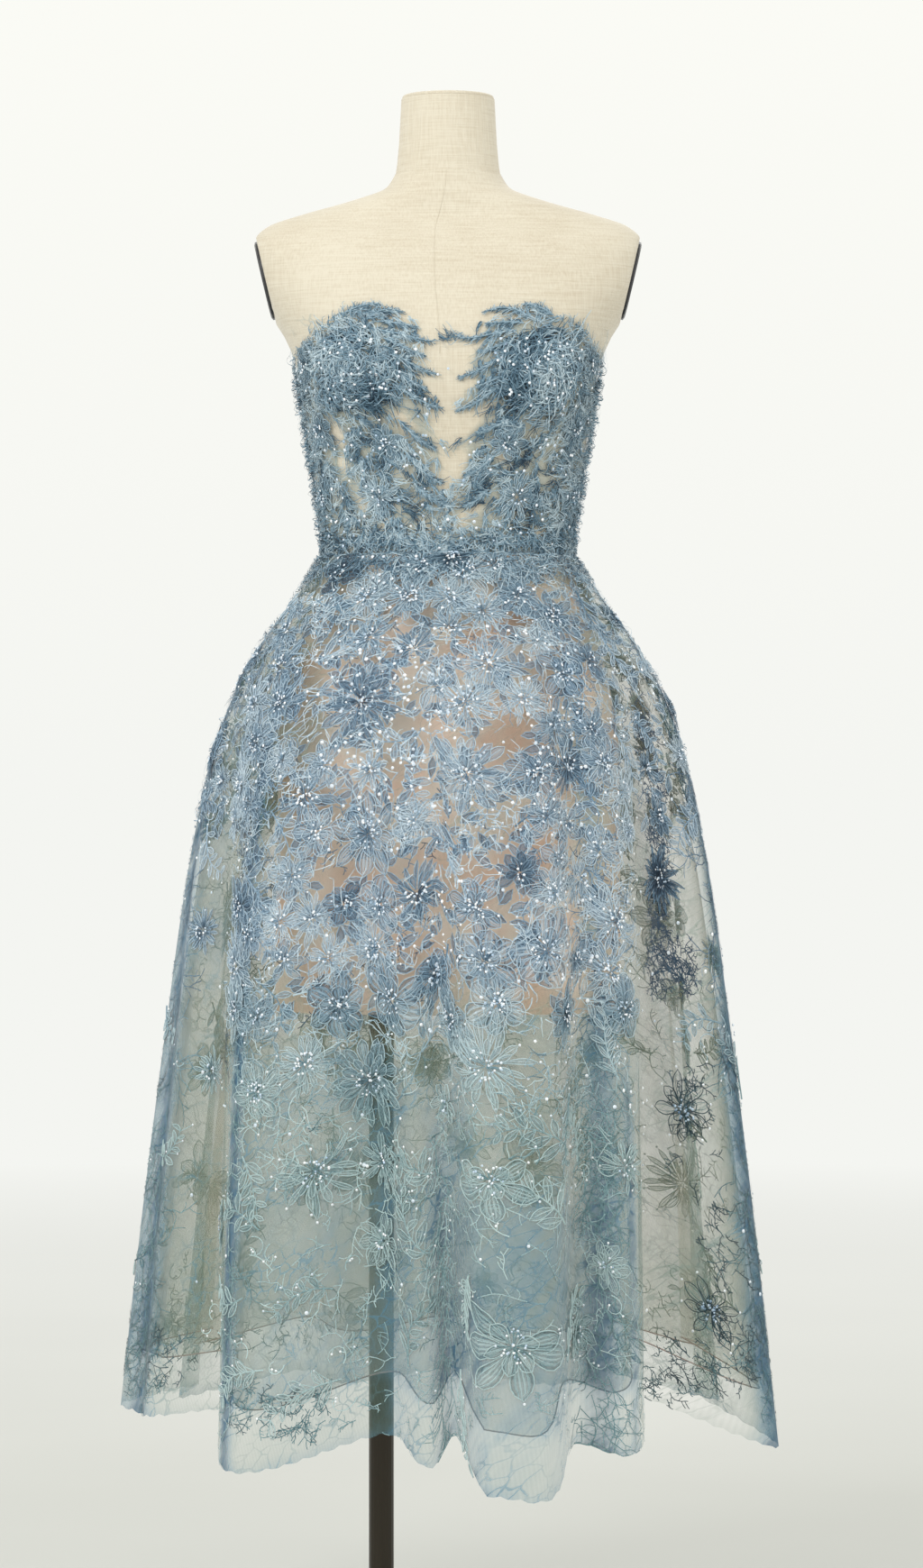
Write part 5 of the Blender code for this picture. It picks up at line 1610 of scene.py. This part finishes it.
# The cups' rosettes: close curls that stand higher, pale over the deeper ones
ROSETTE_TUFTS = 230
for side in (-1, 1):
    for _ in range(ROSETTE_TUFTS):
        far = CUP_REACH * math.sqrt(random.uniform()) * 0.85
        round_it = random.uniform(0, 2 * math.pi)
        angle = side * (CUP_ANGLE + far * math.sin(round_it) / DEGREE)
        drop = max(0.006, CUP_DROP - far * math.cos(round_it))
        turns = side * (math.degrees(round_it) + 90) + random.normal(0, 40, 3)
        bases = random.normal(0, 0.003, (3, 2))
        rosette = bodice_lace_at(angle, drop)
        shade = shading(angle, drop)
        reach = random.uniform(0.008, 0.016, 3)
        strands(rosette, bases, turns, reach, 0.85 + shade, 0.0022, 0.0007, 0.7)
        pale = 0.24 + 0.9 * shade + random.normal(0, 0.18, 3)
        reach = random.uniform(0.009, 0.018, 3)
        strands(rosette, bases, turns, reach, pale, 0.0062, 0.0007, 0.8, ridge=True)
        if random.uniform() < 0.20:
            rosette.bead(bases[:1], 0.0070, 0.0015, random.uniform(-0.1, 0.3))

# Fronds that reach in and down to the centre front: angle and drop of the root, the same of the tip,
# bow, half width
FRONDS = (
    (-24, 0.012, -9.8, -0.004, -0.06, 0.0060),
    (-31, 0.004, -17, -0.004, -0.06, 0.0055),
    (-22, 0.024, -1.5, 0.0075, 0.10, 0.0055),
    (-20, 0.014, -7, 0.004, 0.08, 0.0050),
    (-22, 0.040, -1.8, 0.040, 0.14, 0.0065),
    (-19, 0.032, -6, 0.030, 0.12, 0.0050),
    (-19, 0.075, -1.2, 0.0715, 0.12, 0.0060),
    (-16, 0.062, -6, 0.062, 0.14, 0.0050),
    (-17, 0.112, -4.0, 0.117, 0.12, 0.0060),
    (-16, 0.142, -2.5, 0.148, 0.10, 0.0060),
    (-13, 0.170, -0.5, 0.166, 0.10, 0.0060),
    (25, 0.012, 6.8, -0.008, 0.06, 0.0060),
    (32, 0.006, 19, -0.004, 0.06, 0.0055),
    (20, 0.024, 1.5, 0.0045, -0.10, 0.0055),
    (22, 0.016, 9, 0.004, -0.08, 0.0050),
    (19, 0.046, 2.4, 0.0435, -0.14, 0.0065),
    (20, 0.036, 8, 0.030, -0.12, 0.0050),
    (17, 0.077, 2.0, 0.0755, -0.12, 0.0060),
    (20, 0.066, 8, 0.064, -0.12, 0.0050),
    (21, 0.114, 9.5, 0.112, -0.10, 0.0055),
    (18, 0.148, 5.5, 0.147, -0.10, 0.0060),
    (16, 0.180, 6.0, 0.178, -0.10, 0.0060),
)


def flat_between(cloth, root, tip):
    """The length and the flat direction from one place on a cloth to another."""
    (column_a, row_a), (column_b, row_b) = cloth.place(*root), cloth.place(*tip)
    lengths, drops = cloth.along[int(round(row_a))], cloth.down[:, int(round(column_a))]
    along = np.interp((column_a, column_b), np.arange(len(lengths)), lengths)
    down = np.interp((row_a, row_b), np.arange(len(drops)), drops)
    across, fall = along[1] - along[0], down[1] - down[0]
    return math.hypot(across, fall), math.degrees(math.atan2(across, -fall))


for root_angle, root_drop, tip_angle, tip_drop, bend, half in FRONDS:
    length, turn = flat_between(bodice_cloth, (root_angle, root_drop), (tip_angle, tip_drop))
    for tone, lift in ((0.70, 0.0018), (0.28, 0.0036)):
        frond = bodice_lace_at(root_angle, root_drop)
        plume(frond, length, turn, bend, 66, half * 1.6, tone, lift=lift, spread=26)

# The waist: threads that cross the seam onto the skirt, and a dark half flower at the centre
WAIST_TUFTS = 1000
for _ in range(WAIST_TUFTS):
    angle, drop = float(random.uniform(-180, 180)), float(random.normal(-0.002, 0.011))
    if drop < 0:
        lace = bodice_lace_at(angle, bodice_height(angle) + drop * 0.7)
    else:
        lace = lace_at(angle, drop)
    turns = 180 + random.normal(0, 55, 3)
    reach = random.uniform(0.010, 0.022, 3)
    tones = random.uniform(0.0, 0.9) + random.normal(0, 0.1, 3)
    strands(lace, random.normal(0, 0.004, (3, 2)), turns, reach, tones, 0.0042, 0.00048, 0.6)
for ring_radius, tone in ((0.030, 0.95), (0.020, 0.75)):
    flower(lace_at(5.5, 0.004), "thistle", ring_radius, tone, 180, 190)

# Curls along the top edge and down the sides, which stand a little off the net
CURLS = 420
for _ in range(CURLS):
    angle = float(random.uniform(17, 180) * random.choice((-1, 1)))
    lace = bodice_lace_at(angle, thread_top(angle) + float(random.uniform(0.002, 0.012)))
    side = 1 if angle > 0 else -1
    turns = side * random.uniform(-110, 20, 2)
    reach, tones = random.uniform(0.006, 0.013, 2), random.uniform(0.1, 0.7, 2)
    strands(lace, np.zeros((2, 2)), turns, reach, tones, 0.003)
for _ in range(CURLS):
    angle = float(random.normal(88, 12) * random.choice((-1, 1)))
    lace = bodice_lace_at(angle, random_drop(angle, below=0.01))
    turns, reach = random.uniform(-180, 180, 2), random.uniform(0.008, 0.018, 2)
    strands(lace, np.zeros((2, 2)), turns, reach, 0.55, 0.0065)

BODICE_BEADS = 420
for _ in range(BODICE_BEADS):
    angle = float(random.uniform(-180, 180))
    drop = random_drop(angle, above=0.01)
    if bareness(angle, drop) < 0.3:
        radius, tone = random.uniform(0.0011, 0.0018), random.uniform(-0.1, 0.6)
        bodice_lace_at(angle, drop).bead(AT_CENTRE, 0.0045, radius, tone)


def made_from(lace, cords, key):
    """The pieces of a lace: its cords or threads, its petals and its beads."""
    return [
        lace.cords.make(f"{cords}_{key}", thread, "blue_lace"),
        lace.petals.make(f"petals_{key}", petal, "blue_lace"),
        lace.beads.make(f"beads_{key}", bead, "blue_lace", smooth=False),
    ]


lace_pieces = {name: [] for name, *_ in SHELLS}
for key, lace in laces.items():
    sheet = "lace_front" if key.startswith("front") else f"lace_{key}"
    lace_pieces[sheet] += made_from(lace, "cords", key)
for name, roll in hems.items():
    lace_pieces[name] = [roll]
for name, lace in bodice_laces.items():
    lace_pieces[name] = made_from(lace, "threads", name)

# ---------------------------------------------------------------- the stand
TORSO_COLUMNS = 128
FORM_BOTTOM_Z, FORM_TOP_Z = FORM_SECTIONS[0][0], FORM_SECTIONS[-1][0]


def form_ring(z):
    """The form at a height, with its armholes cut flat."""
    angles = np.linspace(-math.pi, math.pi, TORSO_COLUMNS, endpoint=False)
    x, y = form_xy(angles, np.full(TORSO_COLUMNS, z))
    ring = np.stack([x, y, np.full(TORSO_COLUMNS, z)], -1)
    for side in (-1, 1):
        face = np.array([side * ARMHOLE_AT[0], 0.0, ARMHOLE_AT[1]])
        out = np.array([side * math.cos(ARMHOLE_TILT), 0.0, -math.sin(ARMHOLE_TILT)])
        past = np.maximum((ring - face) @ out, 0)
        ring = ring - past[:, None] * out
    return ring


form_heights = np.concatenate(
    [np.linspace(FORM_BOTTOM_Z, 1.40, 50), np.linspace(1.4035, FORM_TOP_Z, 34)]
)
torso = loft("linen_torso", [form_ring(z) for z in form_heights[::-1]], linen)
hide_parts("form_torso")

# The form's centre-front seam and the seam round the foot of its neck
SEAM_RADIUS = 0.0005
SEAM_ANGLE = math.radians(-2.0)
SEAM_BOTTOM_Z = 1.300  # under the bodice's top edge
seam_heights = np.linspace(FORM_TOP_Z, SEAM_BOTTOM_Z, 60)
seam_xy = [form_xy(SEAM_ANGLE, z) for z in seam_heights]
front_seam = np.stack([[float(x), float(y), z] for (x, y), z in zip(seam_xy, seam_heights)])
neck_turns = np.linspace(0, 2 * np.pi, 72, endpoint=False)
neck_z, neck_half_width, neck_half_depth = NECK_BASE
neck_x, neck_y = neck_half_width * np.sin(neck_turns), -neck_half_depth * np.cos(neck_turns)
neck_seam = np.stack([neck_x, neck_y, np.full_like(neck_x, neck_z)], -1)
seams = Batch()
seams.strips(tube_sections(front_seam, SEAM_RADIUS, 6), 0.0, closed=True)
seams.strips(tube_sections(neck_seam, SEAM_RADIUS * 1.4, 6, closed=True), 0.0, closed=True)
seams.make("form_seams", linen, "linen")

# The zip: a tape along the centre back and a closed coil of small cross bars on it
ZIP_HALF_WIDTH = 0.0021
ZIP_TAPE_THICK = 0.0007
ZIP_TOP_Z = float(top_edge_z(180)) - 0.004
ZIP_BOTTOM_Z = WAIST_Z - 0.160
ZIP_BLEND = 0.012
ZIP_OFF_CLOTH = 0.0003
BAR_STEP = 0.0018
BAR_RADIUS = 0.00042
BAR_HALF = 0.0013
BAR_LEAN = 0.0002  # to either side in turn


def zip_y(z):
    """How far back the tape's inner face lies: on the bodice, and on the skirt below the waist."""
    bodice = form_xy(math.pi, np.maximum(z, WAIST_Z))[1] + FORM_CLEAR + WALL
    share = np.clip((WAIST_Z - z) / (WAIST_Z - float(flute_value("hem_z", 180))), 0, 1)
    skirt = skirt_xyz(180.0, share, out=LACE_OUT + WALL)[..., 1]
    over = np.clip((z - WAIST_Z) / ZIP_BLEND, 0, 1)
    return skirt * (1 - over) + bodice * over + ZIP_OFF_CLOTH


zip_z = np.linspace(ZIP_TOP_Z, ZIP_BOTTOM_Z, 48)
inner, outer = zip_y(zip_z), zip_y(zip_z) + ZIP_TAPE_THICK
half = ZIP_HALF_WIDTH
corners = ((-half, inner), (half, inner), (half, outer), (-half, outer))
tape_rings = np.stack([np.stack([np.full_like(y, x), y, zip_z], -1) for x, y in corners], axis=1)
tape_last = 4 * len(zip_z) - 1
tape_ends = [[0, 1, 2, 3], [tape_last, tape_last - 1, tape_last - 2, tape_last - 3]]
tape_faces = np.concatenate([grid_faces(len(zip_z), 4, closed=True), tape_ends])
coil = Batch()
coil.add(tape_rings.reshape(-1, 3), tape_faces, 0.0)
for index, z in enumerate(np.arange(ZIP_TOP_Z - BAR_STEP, ZIP_BOTTOM_Z + BAR_STEP, -BAR_STEP)):
    middle = float(zip_y(np.array(z))) + ZIP_TAPE_THICK
    lean = BAR_LEAN if index % 2 else -BAR_LEAN
    bar = [
        (lean - BAR_HALF, middle, z),
        (lean - BAR_HALF * 0.8, middle + BAR_RADIUS, z),
        (lean + BAR_HALF * 0.8, middle + BAR_RADIUS, z),
        (lean + BAR_HALF, middle, z),
    ]
    coil.strips(tube_sections(bar, BAR_RADIUS, 5), 1.0, closed=True)
zip_coil = coil.make("zip_coil", tape, "zip_tape", smooth=False)
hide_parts("zip_chain")

dark_metal = metal_material("dark_bronze", colour(56, 50, 40), 0.38)
plate_metal = metal_material("plate_metal", colour(66, 66, 68), 0.32)
pull_metal = metal_material("zip_enamel", colour(128, 146, 160), 0.34)
NODE_MATERIALS = {
    "form_neck": linen,
    "form_neck_cap": linen,
    "form_bottom_board": linen,
    "form_armhole_plate_left": plate_metal,
    "form_armhole_plate_right": plate_metal,
    "stand_pole": dark_metal,
    "stand_base": dark_metal,
    "zip_slider": pull_metal,
    "zip_pull": pull_metal,
}
for node, material in NODE_MATERIALS.items():
    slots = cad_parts[node].data.materials
    slots.clear()
    slots.append(material)

# ---------------------------------------------------------------- sheets
for name, _, first, last in SHELLS:
    cloth, *_, held = cloth_of(name)
    area = flat_area(shells[name])
    left = int(np.argmin(np.abs(cloth.angles - first)))
    right = int(np.argmin(np.abs(cloth.angles - last)))
    hem = int(np.argmin(np.abs(cloth.shares - 1)))
    length = float(np.max(cloth.down[hem, left : right + 1]))
    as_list(lace_pieces[name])

# ---------------------------------------------------------------- floor, light and camera
FLOOR_RADII = (0.0, 0.5, 1.0, 2.0, 4.0, 8.0, 16.0, 60.0)
FLOOR_COLUMNS = 96
FLOOR_Z = -0.0005
HORIZON, ZENITH = colour(244, 245, 241), colour(252, 252, 246)
HORIZON_FROM, HORIZON_TO = 1.2, 6.0  # distances over which the floor turns into the horizon
ring = np.linspace(0, 2 * np.pi, FLOOR_COLUMNS, endpoint=False)
radii = np.array(FLOOR_RADII)[:, None]
floor_x, floor_y = radii * np.cos(ring), radii * np.sin(ring)
floor_points = np.stack([floor_x, floor_y, np.full_like(floor_x, FLOOR_Z)], -1).reshape(-1, 3)
floor_faces = grid_faces(len(FLOOR_RADII), FLOOR_COLUMNS, closed=True)[:, ::-1].tolist()
floor_shader = Shader("floor", Roughness=0.9)
floor_cloud = floor_shader.noise(floor_shader.place(), 0.8)
floor_shader.drive("Base Color", floor_shader.ramp(floor_cloud, FLOOR_TONES))
floor_place = {0: floor_shader.place()}
floor_length = floor_shader.node("ShaderNodeVectorMath", floor_place, operation="LENGTH")
distance = floor_length.outputs["Value"]
glow = floor_shader.node("ShaderNodeEmission", {"Color": HORIZON, "Strength": 1.0})
blend = floor_shader.node(
    "ShaderNodeMixShader",
    {
        "Fac": floor_shader.span(distance, HORIZON_FROM, HORIZON_TO, 0.0, 1.0),
        1: floor_shader.surface.outputs[0],
        2: glow.outputs[0],
    },
)
floor_output = floor_shader.tree.nodes["Material Output"]
floor_shader.tree.links.new(blend.outputs[0], floor_output.inputs["Surface"])
floor = mesh_object("studio_floor", floor_points, floor_faces, floor_shader.material)

world = bpy.data.worlds.new("studio")
world.use_nodes = True
bpy.context.scene.world = world
sky = world.node_tree
height = sky.nodes.new("ShaderNodeTexCoord").outputs["Generated"]
split = sky.nodes.new("ShaderNodeSeparateXYZ")
sky.links.new(height, split.inputs[0])
fade = sky.nodes.new("ShaderNodeValToRGB")
for stop, at, shade in zip(fade.color_ramp.elements, (0.0, 0.20), (HORIZON, ZENITH)):
    stop.position, stop.color = at, shade
sky.links.new(split.outputs["Z"], fade.inputs["Fac"])
sky.links.new(fade.outputs["Color"], sky.nodes["Background"].inputs["Color"])

# Lights: name, place, target, size and power
LIGHTS = (
    ("key", (-2.2, -3.6, 3.4), (0, 0, 0.9), 2.0, 92),
    ("fill", (3.0, -3.0, 2.0), (0, 0, 0.9), 2.6, 22),
    ("back", (0.5, 3.4, 3.2), (0, 0, 1.0), 2.4, 30),
)
for name, place, target, size, power in LIGHTS:
    light = bpy.data.lights.new(name, "AREA")
    light.size, light.energy = size, power
    lamp = bpy.data.objects.new(name, light)
    lamp.location = place
    lamp.rotation_euler = (Vector(target) - Vector(place)).to_track_quat("-Z", "Y").to_euler()
    bpy.context.scene.collection.objects.link(lamp)

camera_data = bpy.data.cameras.new("camera")
camera_data.sensor_width = SENSOR
camera_data.lens = PIXELS_A_METRE_AT_ONE * SENSOR / FRAME_HEIGHT
camera_data.shift_x = (FRAME_WIDTH / 2 - AXIS_COLUMN) / FRAME_HEIGHT
camera = bpy.data.objects.new("camera", camera_data)
camera.location = (0, -CAMERA_BACK, CAMERA_Z)
camera.rotation_euler = (math.pi / 2, 0, 0)
bpy.context.scene.collection.objects.link(camera)
bpy.context.scene.camera = camera

scene = bpy.context.scene
scene.view_settings.view_transform = "Standard"
scene.cycles.transparent_max_bounces = 32
scene.cycles.max_bounces = 6
